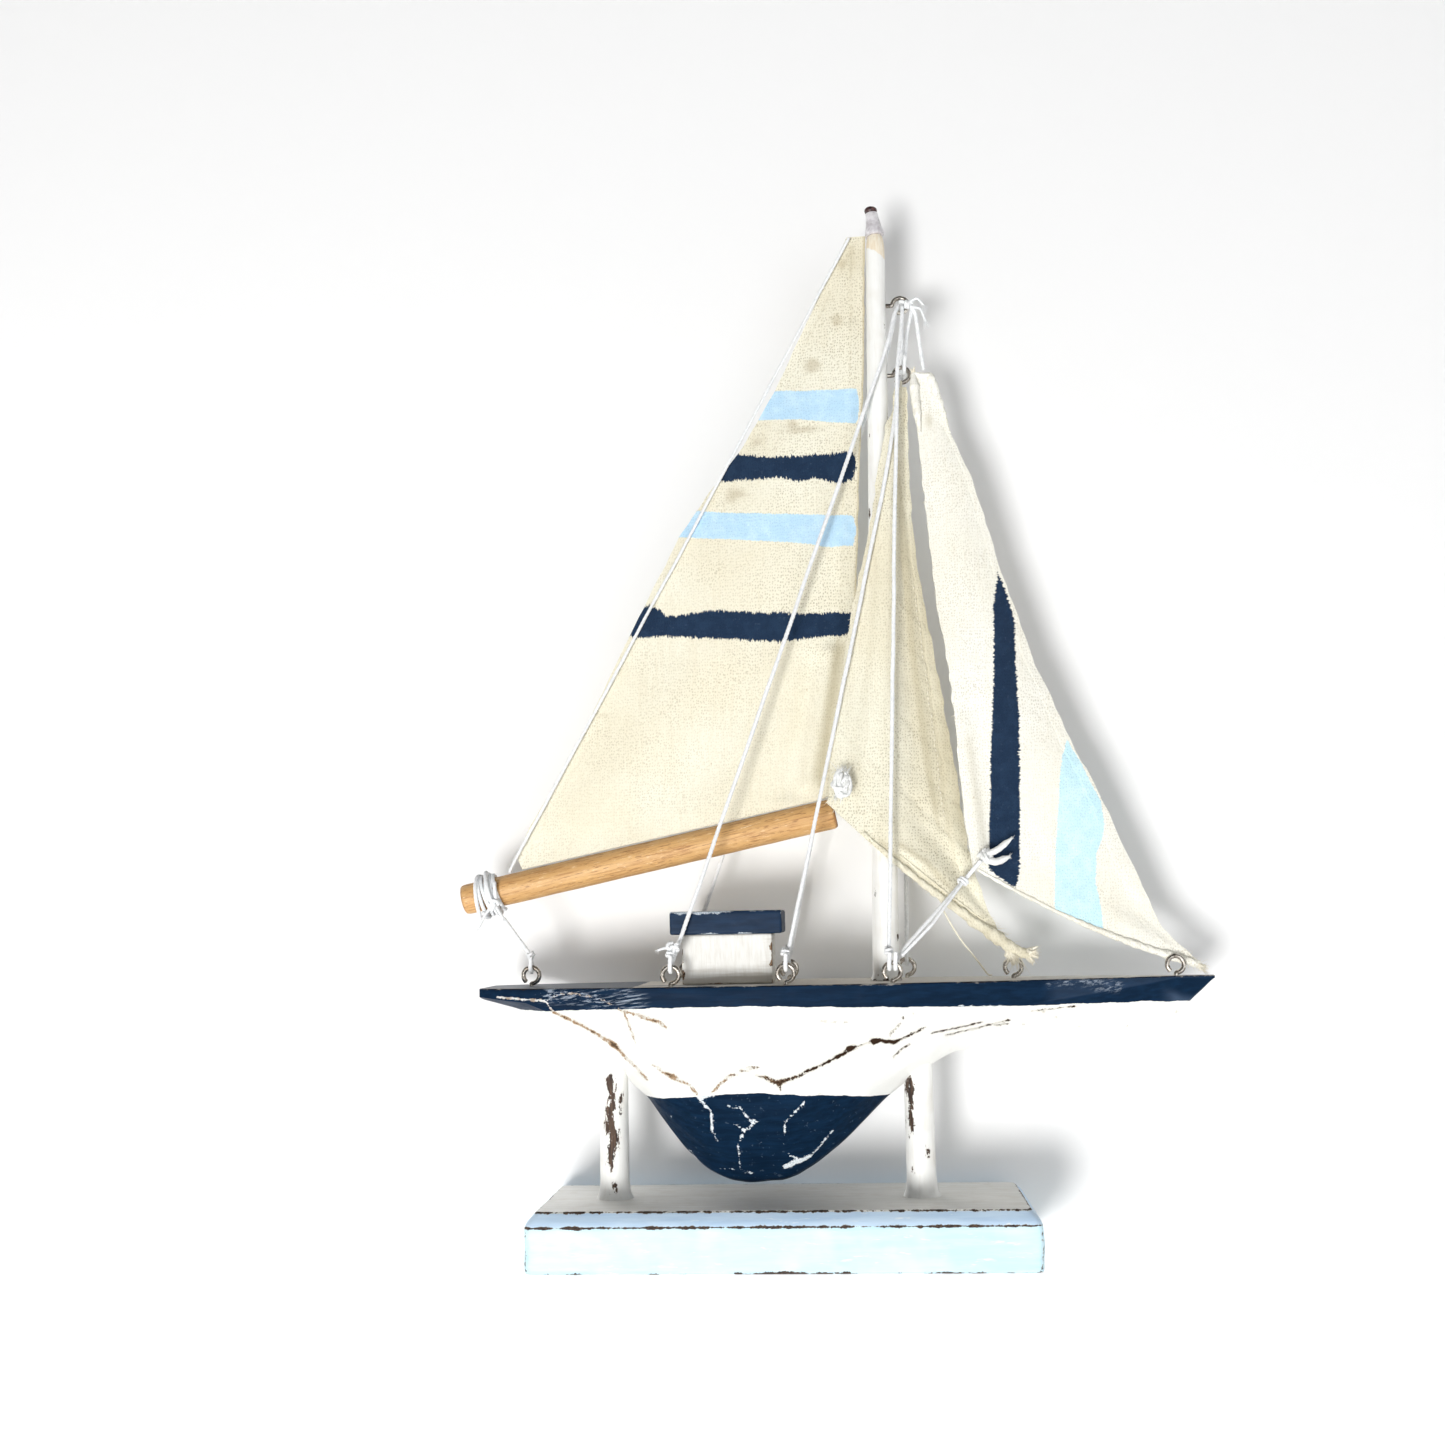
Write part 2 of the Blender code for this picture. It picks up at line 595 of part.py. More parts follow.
def leg_end(x, y, side, degrees=0.0):
    a = math.radians(degrees)
    return hook_top(x + EYE_R * math.sin(a), y,
                    EYE_Z + EYE_R * math.cos(a), side,
                    CLEAR * (1.0 if degrees == 0.0 else 1.1))


def through(x, z, reach=1.65, drop=0.5):
    """Through a ring at (x, z), from starboard to port, both ends drooping."""
    return [(x, -reach, z - drop), (x, -0.8, z), (x, 0.8, z), (x, reach, z - drop)]


EYES = {n: (x, y) for n, x, y in DECK_EYES}
UX, UZ = EYE_X["eye_mast_upper"], 307.0
LX, LZ = EYE_X["eye_mast_lower"], 283.0


def mirror(points):
    return [(x, -y, z) for x, y, z in points]


def shroud(name, top, near_way, near_eye, far_way, far_eye, turn=0.0):
    """One string: up from a starboard ring, through a mast ring and down to
    a port ring."""
    nx, ny = EYES[near_eye]
    fx, fy = EYES[far_eye]
    pts = leg_end(nx, ny, -1, turn) + list(reversed(near_way)) + through(*top) \
        + far_way + list(reversed(leg_end(fx, fy, 1)))
    return string(name, pts, STRING_R)


aft_way = [(UX - 1.8, -2.6, 303.6), (41.6, -4.7, 293.4), (38.6, -5.3, 285.0)]
shroud("shroud_aft", (UX - 0.80, UZ - 0.50), aft_way, "eye_aft_starboard",
       mirror(aft_way), "eye_aft_port")
fore_way = [(UX + 0.6, -2.4, 303.2), (44.2, -6.2, 284.0), (42.2, -9.0, 247.0)]
shroud("shroud_fore", (UX + 0.72, UZ - 0.62), fore_way, "eye_fore_starboard",
       [(UX + 0.6, 2.4, 303.2), (46.0, 4.6, 284.0)], "eye_fore_port", -21.0)
mid_way = [(LX - 1.3, -2.6, 279.6), (43.4, -4.9, 271.0), (40.6, -6.8, 255.0),
           (37.6, -7.2, 240.0)]
mid_far = [(LX - 1.3, 2.6, 279.6), (41.8, 4.9, 266.0), (37.4, 5.6, 247.0)]
shroud("shroud_mid", (LX - 0.75, LZ - 0.62), mid_way, "eye_mid_starboard",
       mid_far, "eye_mid_port")

# jib halyard: tied to the lower mast ring, up through the upper one and down
# to the head of the outer jib
pts = hook_top(LX + 0.89, 0.0, LZ + EYE_R * 0.94, -1, CLEAR * 1.1)
pts += [(UX + 2.3, 1.9, 299.0), (UX + 3.8, 1.9, 304.6), (UX + 3.4, 2.1, 306.9),
        (UX + 1.7, 2.2, 308.1), (UX + 0.15, 1.5, UZ + 0.95),
        (UX + 0.15, -1.5, UZ + 0.95), (UX + 3.2, -2.0, 306.4),
        (UX + 4.9, -1.9, 303.0), (52.9, -0.9, 284.3)]
string("jib_halyard", pts, STRING_R)

# topping lift, from the masthead down the leech to the boom's lashing
string("topping_lift", [(29.6, -1.9, 330.6), (-29.0, -1.9, 224.8),
                        (-84.0, -2.2, 126.2), (-86.4, -2.6, 121.4)], STRING_R)

# main sheet, from the stern ring up to the boom's lashing
sx, sy = EYES["eye_stern"]
sheet_top = (-88.6, -1.2, boom_z(-88.6) - BOOM_R - 3 * STRING_R - 2.1)
string("main_sheet", leg_end(sx, sy, -1) + [(sx - 0.6, 1.2, EYE_Z + EYE_R + 4.0),
                                            sheet_top], STRING_R)

# jib sheet, from the clew to the fore starboard ring
jx, jy = EYES["eye_fore_starboard"]
string("jib_sheet", leg_end(jx, jy, -1, 21.0)
       + [(jx + 2.9, jy + 3.2, EYE_Z + EYE_R + 3.0), (60.6, -8.3, 116.9)], STRING_R)

# lump knots where the two headsails are tied
def lump(name, centre, radii, colour, segments=12, rows=7):
    cx, cy, cz = centre
    rings = []
    for i in range(rows):
        a = math.pi * (i + 0.5) / rows
        r, z = math.sin(a), -math.cos(a)
        rings.append([(cx + radii[0] * r * math.cos(2 * math.pi * k / segments),
                       cy + radii[1] * r * math.sin(2 * math.pi * k / segments),
                       cz + radii[2] * z) for k in range(segments)])
    ob = link(name, rings_to_mesh(name, rings), colour, 0.9)
    smooth(ob, 60)
    return ob


lump("staysail_clew_knot", (21.6, -16.6, 146.0), (2.7, 1.7, 4.4), STRING)
lump("jib_clew_knot", (66.4, -9.6, 123.0), (3.0, 1.5, 2.4), STRING)

# tie that holds the staysail's tack to its ring
tx2, ty2 = EYES["eye_staysail_tack"]
string("staysail_tack_tie", leg_end(tx2, ty2, -1)
       + [(tx2 - 0.4, 1.9, EYE_Z + EYE_R + 1.6)], STRING_R, CREAM)

# loose thread hanging from the staysail's foot to the deck
THREAD = [(52.5, -4.4, 108.0), (53.7, -3.2, 104.7), (58.0, 0.4, 97.4),
          (62.9, 5.0, 91.2), (65.7, 9.0, 87.6), (67.2, 12.0, 85.7),
          (68.2, 14.6, 85.1), (68.9, 16.4, 85.05)]


def spline(points, step):
    """Points a step apart on a smooth curve through the given ones."""
    p = [Vector(q) for q in points]
    p = [2 * p[0] - p[1]] + p + [2 * p[-1] - p[-2]]
    fine = []
    for a, b, c, d in zip(p, p[1:], p[2:], p[3:]):
        for k in range(24):
            t = k / 24
            fine.append(0.5 * ((2 * b) + (c - a) * t
                               + (2 * a - 5 * b + 4 * c - d) * t * t
                               + (3 * b - a - 3 * c + d) * t * t * t))
    fine.append(p[-2])
    total = sum((b - a).length for a, b in zip(fine, fine[1:]))
    count = max(2, round(total / step))
    out, gone, want = [tuple(fine[0])], 0.0, 1
    for a, b in zip(fine, fine[1:]):
        s = (b - a).length
        while want < count and gone + s >= want * total / count:
            out.append(tuple(a.lerp(b, (want * total / count - gone) / s)))
            want += 1
        gone += s
    return out + [tuple(fine[-1])]


string("loose_thread", spline(THREAD, 1.5), THREAD_R, CREAM)


# ---------------------------------------------------------------- what moves
def hang(name, point, axis, children):
    """An empty on a joint's axis, its own Z along the axis, with the pieces
    that turn about it parented to it."""
    empty = bpy.data.objects.new(name, None)
    bpy.context.scene.collection.objects.link(empty)
    empty.empty_display_size = 0.02
    empty.rotation_mode = "QUATERNION"
    empty.location = [c * MM for c in point]
    empty.rotation_quaternion = Vector(axis).to_track_quat("Z", "Y")
    bpy.context.view_layer.update()
    for child in children:
        ob = bpy.data.objects[child]
        ob.parent = empty
        ob.matrix_parent_inverse = empty.matrix_world.inverted()


# the boom swings about the mast, as far as the main sheet lets it
hang("boom_swing", (36.5, 0.0, 138.0), (0, 0, 1),
     ["boom", "boom_lashing", "mainsail", "topping_lift"])
# the sheets tilt to either side of the rings they are hooked to
hang("main_sheet_tilt", (EYES["eye_stern"][0], 0.0, EYE_Z + EYE_R), (1, 0, 0),
     ["main_sheet"])
hang("jib_sheet_tilt", (jx + EYE_R * math.sin(math.radians(21.0)), jy,
                        EYE_Z + EYE_R * math.cos(math.radians(21.0))),
     (1, 0, 0), ["jib_sheet"])
# the outer jib turns about its luff, from the tack up to the head
TACK, HEAD = Vector((126.0, 1.0, 90.0)), Vector((53.5, -0.8, 284.0))
hang("jib_swing", TACK, HEAD - TACK, ["outer_jib", "jib_clew_knot"])

bpy.context.view_layer.update()
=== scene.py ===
"""Looks for the wooden model sailboat: paint, wear, cloth, string and light."""

import json
import math

import bmesh
import bpy
import numpy as np
from mathutils import Matrix, Vector

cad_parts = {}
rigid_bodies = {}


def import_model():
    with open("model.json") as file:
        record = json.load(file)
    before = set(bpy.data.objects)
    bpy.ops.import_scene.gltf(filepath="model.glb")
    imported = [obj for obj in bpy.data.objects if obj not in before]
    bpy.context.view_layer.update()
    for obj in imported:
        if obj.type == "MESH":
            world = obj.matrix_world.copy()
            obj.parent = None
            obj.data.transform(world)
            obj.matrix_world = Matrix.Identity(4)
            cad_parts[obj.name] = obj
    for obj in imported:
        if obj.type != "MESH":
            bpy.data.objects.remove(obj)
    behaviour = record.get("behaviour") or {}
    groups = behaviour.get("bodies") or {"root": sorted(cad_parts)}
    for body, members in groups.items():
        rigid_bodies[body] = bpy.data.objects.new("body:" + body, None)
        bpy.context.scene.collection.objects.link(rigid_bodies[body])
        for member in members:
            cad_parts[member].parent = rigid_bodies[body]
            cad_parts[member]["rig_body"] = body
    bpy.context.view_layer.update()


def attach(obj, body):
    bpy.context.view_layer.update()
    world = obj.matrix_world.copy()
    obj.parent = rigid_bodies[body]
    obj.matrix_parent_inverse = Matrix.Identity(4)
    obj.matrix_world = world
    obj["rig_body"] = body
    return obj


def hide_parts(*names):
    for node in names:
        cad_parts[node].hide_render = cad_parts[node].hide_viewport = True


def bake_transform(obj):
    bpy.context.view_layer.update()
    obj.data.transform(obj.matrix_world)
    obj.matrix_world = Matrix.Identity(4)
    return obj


for ob in list(bpy.data.objects):
    bpy.data.objects.remove(ob, do_unlink=True)

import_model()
MM = 0.001
RNG = np.random.default_rng(11)


# =====================================================================
# camera
# =====================================================================
cam = bpy.data.cameras.new("camera")
cam_ob = bpy.data.objects.new("camera", cam)
bpy.context.scene.collection.objects.link(cam_ob)
YAW, PITCH, ROLL = 0.074, 0.120, -0.020
_f = Vector((-math.sin(YAW) * math.cos(PITCH), math.cos(YAW) * math.cos(PITCH), math.sin(PITCH)))
_r = Vector((math.cos(YAW), math.sin(YAW), 0.0))
_u = _r.cross(_f)
_right = _r * math.cos(ROLL) + _u * math.sin(ROLL)
_up = _u * math.cos(ROLL) - _r * math.sin(ROLL)
cam_ob.matrix_world = Matrix((
    (_right.x, _up.x, -_f.x, 0.02242),
    (_right.y, _up.y, -_f.y, -0.5213),
    (_right.z, _up.z, -_f.z, 0.1054),
    (0, 0, 0, 1)))
cam.sensor_fit = "HORIZONTAL"
cam.sensor_width = 36.0
cam.lens = 40.2
cam.clip_start = 0.01
cam.clip_end = 50.0
bpy.context.scene.camera = cam_ob


# =====================================================================
# shader helper
# =====================================================================
class Mat:
    def __init__(self, name, rough=0.6, metal=0.0, spec=0.5):
        self.m = bpy.data.materials.new(name)
        self.m.use_nodes = True
        self.nt = self.m.node_tree
        self.nt.nodes.clear()
        out = self.n("ShaderNodeOutputMaterial")
        self.b = self.n("ShaderNodeBsdfPrincipled")
        self.nt.links.new(self.b.outputs[0], out.inputs[0])
        self.b.inputs["Roughness"].default_value = rough
        self.b.inputs["Metallic"].default_value = metal
        self.b.inputs["Specular IOR Level"].default_value = spec
        self.obj = self.n("ShaderNodeTexCoord").outputs["Object"]

    def n(self, kind, **kw):
        node = self.nt.nodes.new(kind)
        for k, v in kw.items():
            setattr(node, k, v)
        return node

    def put(self, sock, v):
        if isinstance(v, bpy.types.NodeSocket):
            self.nt.links.new(v, sock)
        elif isinstance(v, tuple) and len(v) == 3 and len(sock.default_value) == 4:
            sock.default_value = (*v, 1.0)
        else:
            sock.default_value = v

    def scaled(self, v, s, turn=None):
        if turn is not None:
            r = self.n("ShaderNodeMapping")
            self.put(r.inputs["Vector"], v)
            r.inputs["Rotation"].default_value = turn
            v = r.outputs[0]
        p = self.n("ShaderNodeMapping")
        self.put(p.inputs["Vector"], v)
        p.inputs["Scale"].default_value = s
        return p.outputs[0]

    def noise(self, scale, detail=3.0, rough=0.55, vec=None, warp=0.0):
        p = self.n("ShaderNodeTexNoise")
        self.put(p.inputs["Vector"], self.obj if vec is None else vec)
        p.inputs["Scale"].default_value = scale
        p.inputs["Detail"].default_value = detail
        p.inputs["Roughness"].default_value = rough
        p.inputs["Distortion"].default_value = warp
        return p.outputs[0]

    def dots(self, vec, randomness):
        p = self.n("ShaderNodeTexVoronoi", voronoi_dimensions="2D")
        self.put(p.inputs["Vector"], vec)
        p.inputs["Scale"].default_value = 1.0
        p.inputs["Randomness"].default_value = randomness
        return p.outputs["Distance"]

    def voronoi(self, scale, vec=None):
        p = self.n("ShaderNodeTexVoronoi")
        self.put(p.inputs["Vector"], self.obj if vec is None else vec)
        p.inputs["Scale"].default_value = scale
        return p.outputs["Distance"]

    def math(self, op, a, b=0.0, c=0.0, clamp=False):
        p = self.n("ShaderNodeMath", operation=op, use_clamp=clamp)
        for s, v in zip(p.inputs, (a, b, c)):
            self.put(s, v)
        return p.outputs[0]

    def add(self, a, b):
        return self.math("ADD", a, b)

    def mul(self, a, b):
        return self.math("MULTIPLY", a, b)

    def step(self, v, lo, hi, a=0.0, b=1.0):
        p = self.n("ShaderNodeMapRange", interpolation_type="SMOOTHSTEP")
        self.put(p.inputs["Value"], v)
        for k, x in zip(("From Min", "From Max", "To Min", "To Max"), (lo, hi, a, b)):
            p.inputs[k].default_value = x
        return p.outputs[0]

    def mix(self, f, a, b, kind="MIX"):
        p = self.n("ShaderNodeMix", data_type="RGBA", blend_type=kind)
        self.put(p.inputs[0], f)
        self.put(p.inputs[6], a)
        self.put(p.inputs[7], b)
        return p.outputs[2]

    def attr(self, name):
        return self.n("ShaderNodeAttribute", attribute_name=name).outputs["Fac"]

    def xyz(self, vec=None):
        p = self.n("ShaderNodeSeparateXYZ")
        self.put(p.inputs[0], self.obj if vec is None else vec)
        return p.outputs

    def bump(self, h, strength, dist, normal=None):
        p = self.n("ShaderNodeBump")
        self.put(p.inputs["Height"], h)
        p.inputs["Strength"].default_value = strength
        p.inputs["Distance"].default_value = dist
        if normal is not None:
            self.put(p.inputs["Normal"], normal)
        return p.outputs[0]

    def colour(self, v):
        self.put(self.b.inputs["Base Color"], v)

    def roughness(self, v):
        self.put(self.b.inputs["Roughness"], v)

    def normal(self, v):
        self.put(self.b.inputs["Normal"], v)


def srgb(h):
    c = [int(h[i:i + 2], 16) / 255 for i in (1, 3, 5)]
    return tuple(x / 12.92 if x <= 0.04045 else ((x + 0.055) / 1.055) ** 2.4 for x in c)


# paint colours as they are in even light
NAVY = (0.0038, 0.0145, 0.0355)
NAVY_KEEL = (0.0030, 0.0122, 0.0300)
NAVY_ROOF = (0.0068, 0.0205, 0.0480)
WHITE = (0.86, 0.86, 0.835)
WOOD_DARK = (0.035, 0.019, 0.012)
WOOD_MID = (0.36, 0.245, 0.150)
BARE = (0.70, 0.50, 0.28)


# =====================================================================
# mesh helpers
# =====================================================================
def make(name, verts, faces, mats, smooth=True, attrs=None, slots=None, sharp=None):
    """Object from vertices in millimetres."""
    me = bpy.data.meshes.new(name)
    v = np.asarray(verts, float) * MM
    me.from_pydata(v.tolist(), [], [tuple(int(i) for i in f) for f in faces])
    for m in (mats if isinstance(mats, (list, tuple)) else [mats]):
        me.materials.append(m.m if isinstance(m, Mat) else m)
    if slots is not None:
        me.polygons.foreach_set("material_index", np.asarray(slots, np.int32))
    me.polygons.foreach_set("use_smooth", np.full(len(me.polygons), smooth))
    bm = bmesh.new()
    bm.from_mesh(me)
    bmesh.ops.recalc_face_normals(bm, faces=bm.faces)
    bm.to_mesh(me)
    bm.free()
    for k, a in (attrs or {}).items():
        at = me.attributes.new(k, "FLOAT", "POINT")
        at.data.foreach_set("value", np.asarray(a, np.float32))
    if sharp is not None:
        me.set_sharp_from_angle(angle=math.radians(sharp))
    me.update()
    ob = bpy.data.objects.new(name, me)
    bpy.context.scene.collection.objects.link(ob)
    return ob


def hash3(i, seed):
    i = i.astype(np.int64)
    h = (i[:, 0] * 374761393 + i[:, 1] * 668265263 + i[:, 2] * 1442695041 + seed * 1274126177) & 0xFFFFFFFF
    h = ((h ^ (h >> 13)) * 1274126177) & 0xFFFFFFFF
    h = ((h ^ (h >> 15)) * 2246822519) & 0xFFFFFFFF
    return ((h ^ (h >> 16)) & 0xFFFFFF) / float(0xFFFFFF) * 2 - 1


def vnoise(p, size, seed=0):
    """Smooth noise from -1 to 1, size in the units of p."""
    q = np.asarray(p, float).reshape(-1, 3) / size
    i = np.floor(q)
    f = q - i
    f = f * f * (3 - 2 * f)
    out = np.zeros(len(q))
    for dx in (0, 1):
        for dy in (0, 1):
            for dz in (0, 1):
                w = ((f[:, 0] if dx else 1 - f[:, 0]) * (f[:, 1] if dy else 1 - f[:, 1])
                     * (f[:, 2] if dz else 1 - f[:, 2]))
                out += w * hash3(i + np.array([dx, dy, dz]), seed)
    return out


def fbm(p, size, seed=0, octaves=3):
    return sum(vnoise(p, size / 2 ** k, seed + k) / 2 ** k for k in range(octaves)) / 1.6


def interp(table, x):
    t = np.array(table, float)
    return np.interp(x, t[:, 0], t[:, 1])


def pchip(table, x):
    """Monotone smooth interpolation through a table."""
    t = np.array(table, float)
    X, Y = t[:, 0], t[:, 1]
    h, d = np.diff(X), np.diff(Y) / np.diff(X)
    m = np.zeros(len(X))
    for k in range(1, len(X) - 1):
        if d[k - 1] * d[k] > 0:
            w1, w2 = 2 * h[k] + h[k - 1], h[k] + 2 * h[k - 1]
            m[k] = (w1 + w2) / (w1 / d[k - 1] + w2 / d[k])
    m[0], m[-1] = d[0], d[-1]
    x = np.clip(np.asarray(x, float), X[0], X[-1])
    k = np.clip(np.searchsorted(X, x) - 1, 0, len(X) - 2)
    s = (x - X[k]) / h[k]
    return ((2 * s ** 3 - 3 * s ** 2 + 1) * Y[k] + (s ** 3 - 2 * s ** 2 + s) * h[k] * m[k]
            + (-2 * s ** 3 + 3 * s ** 2) * Y[k + 1] + (s ** 3 - s ** 2) * h[k] * m[k + 1])


def near_lines(x, z, lines):
    """Half width minus distance, in millimetres, to the nearest of some
    polylines.  Each line is a list of (x, z, half width)."""
    best = np.full(len(x), -9.0)
    for line in lines:
        if len(line) == 1:
            a = line[0]
            best = np.maximum(best, a[2] - np.hypot(x - a[0], z - a[1]))
        for a, b in zip(line, line[1:]):
            dx, dz = b[0] - a[0], b[1] - a[1]
            n = max(dx * dx + dz * dz, 1e-9)
            t = np.clip(((x - a[0]) * dx + (z - a[1]) * dz) / n, 0, 1)
            d = np.hypot(x - a[0] - t * dx, z - a[1] - t * dz)
            best = np.maximum(best, a[2] + (b[2] - a[2]) * t - d)
    return best


def line(width, *pts):
    return [(x, z, width) for x, z in pts]


def in_polygon(x, z, poly):
    """Signed distance to a polygon's outline, positive inside."""
    p = np.array(poly, float)
    d = np.full(len(x), 1e9)
    inside = np.zeros(len(x), bool)
    for a, b in zip(p, np.roll(p, -1, 0)):
        e = b - a
        t = np.clip(((x - a[0]) * e[0] + (z - a[1]) * e[1]) / (e @ e), 0, 1)
        d = np.minimum(d, np.hypot(x - a[0] - t * e[0], z - a[1] - t * e[1]))
        c = ((a[1] > z) != (b[1] > z))
        with np.errstate(divide="ignore", invalid="ignore"):
            xi = a[0] + (z - a[1]) * e[0] / (e[1] if e[1] else 1e-12)
        inside ^= c & (x < xi)
    return np.where(inside, d, -d)


def grid_faces(rows, cols, wrap=False, off=0):
    i = np.arange(rows - 1)[:, None] * cols
    j = np.arange(cols if wrap else cols - 1)[None, :]
    k = (j + 1) % cols
    f = np.stack([i + j, i + k, i + cols + k, i + cols + j], -1).reshape(-1, 4)
    return f + off


def lathe(name, rings, mat, segments=48, wobble=0.0, seed=3, slots=None, mats=None,
          attrs=None, sharp=38):
    """Solid of revolution: rings are (centre, radius); the axis leans from one
    centre to the next."""
    c = np.array([r[0] for r in rings], float)
    rad = np.array([r[1] for r in rings], float)
    a = (c[-1] - c[0]) / np.linalg.norm(c[-1] - c[0])
    s = np.cross(a, [0, 1, 0]); s /= np.linalg.norm(s)
    t = np.cross(a, s)
    th = np.arange(segments) * 2 * np.pi / segments
    v = (c[:, None, :] + rad[:, None, None] * (np.cos(th)[None, :, None] * s + np.sin(th)[None, :, None] * t)).reshape(-1, 3)
    if wobble:
        d = fbm(v, 7.0, seed) * wobble
        axis_pt = np.repeat(c, segments, 0)
        out = v - axis_pt
        out /= np.maximum(np.linalg.norm(out, axis=1), 1e-6)[:, None]
        v = v + out * d[:, None]
    f = grid_faces(len(rings), segments, True).tolist()
    f.append(tuple(reversed(range(segments))))
    f.append(tuple(range((len(rings) - 1) * segments, len(rings) * segments)))
    at = {k: fn(v) for k, fn in (attrs or {}).items()}
    return make(name, v, f, mat, True, at, None, sharp)


def resample(pts, step):
    p = np.array(pts, float)
    seg = np.linalg.norm(np.diff(p, axis=0), axis=1)
    s = np.r_[0, np.cumsum(seg)]
    n = max(3, int(round(s[-1] / step)) + 1)
    t = np.linspace(0, s[-1], n)
    return np.stack([np.interp(t, s, p[:, k]) for k in range(3)], 1)


def soften(p, rounds):
    p = p.copy()
    for _ in range(rounds):
        p[1:-1] = 0.25 * p[:-2] + 0.5 * p[1:-1] + 0.25 * p[2:]
    return p


def frames(p):
    """A tangent and two sides at each point, turning as little as possible."""
    t = np.gradient(p, axis=0)
    t /= np.maximum(np.linalg.norm(t, axis=1), 1e-9)[:, None]
    ref = np.array([0, 1.0, 0]) if abs(t[0, 1]) < 0.9 else np.array([1.0, 0, 0])
    s = np.zeros_like(p)
    v = ref - t[0] * (ref @ t[0])
    s[0] = v / np.linalg.norm(v)
    for i in range(1, len(p)):
        v = s[i - 1] - t[i] * (s[i - 1] @ t[i])
        n = np.linalg.norm(v)
        s[i] = v / n if n > 1e-6 else s[i - 1]
    return t, s, np.cross(t, s)


def tube(p, radius, sides=8, lobes=0, depth=0.0, pitch=3.0, taper=None, phase=0.0):
    """Vertices and faces of a closed tube; lobes makes a twisted string."""
    t, s, u = frames(p)
    d = np.r_[0, np.cumsum(np.linalg.norm(np.diff(p, axis=0), axis=1))]
    th = np.arange(sides) * 2 * np.pi / sides
    r = np.full((len(p), sides), float(radius)) if np.isscalar(radius) else np.repeat(np.asarray(radius)[:, None], sides, 1)
    if lobes:
        ang = th[None, :] - 2 * np.pi * d[:, None] / pitch + phase
        r = r * (1 - depth + depth * np.abs(np.cos(lobes * ang / 2)) ** 0.8 * 1.25)
    if taper is not None:
        r = r * taper[:, None]
    v = p[:, None, :] + r[..., None] * (np.cos(th)[None, :, None] * s[:, None, :] + np.sin(th)[None, :, None] * u[:, None, :])
    v = v.reshape(-1, 3)
    f = grid_faces(len(p), sides, True).tolist()
    a, b = p[0] - t[0] * r[0].mean() * 0.4, p[-1] + t[-1] * r[-1].mean() * 0.4
    n = len(v)
    v = np.vstack([v, a, b])
    for k in range(sides):
        m = (k + 1) % sides
        f.append((m, k, n))
        f.append((n - sides + k, n - sides + m, n + 1))
    return v, f


def join(parts):
    """Vertices and faces of several closed shapes as one list."""
    vs, fs, off = [], [], 0
    for v, f in parts:
        vs.append(v)
        fs += [tuple(i + off for i in q) for q in f]
        off += len(v)
    return np.vstack(vs), fs


def bristles(p, out, length, radius, count, droop=0.3, spread=0.6, seed=0, along=None):
    """Many short tapered fibres growing from the points p towards out."""
    rng = np.random.default_rng(seed)
    parts = []
    for k in range(count):
        i = rng.integers(0, len(p))
        o = out[i] + rng.normal(0, spread, 3) * np.array([1, 0.55, 1])
        o /= np.linalg.norm(o)
        ln = length * rng.uniform(0.35, 1.25)
        b = rng.normal(0, 0.45, 3)
        q = np.array([p[i] - out[i] * 0.35 + o * ln * t + b * ln * 0.45 * t * t
                      + np.array([0, 0, -droop * ln]) * t * t
                      for t in np.linspace(0, 1, 6)])
        parts.append(tube(q, radius * rng.uniform(0.7, 1.2), 4, taper=np.linspace(1, 0.35, 6)))
    return parts


# =====================================================================
# materials
# =====================================================================
def painted_bits(m, white=WHITE):
    """Hand-brushed white paint: slow tint and brush streaks."""
    big = m.noise(45, 3)
    streak = m.noise(1.0, 3, 0.6, m.scaled(m.obj, (90, 600, 600)))
    c = m.mix(m.step(big, 0.35, 0.75, 0, 0.5), white, tuple(x * y for x, y in zip(white, (0.965, 0.95, 0.915))))
    c = m.mix(m.step(streak, 0.55, 0.8, 0, 0.35), c, tuple(x * 0.93 for x in white))
    return c, streak


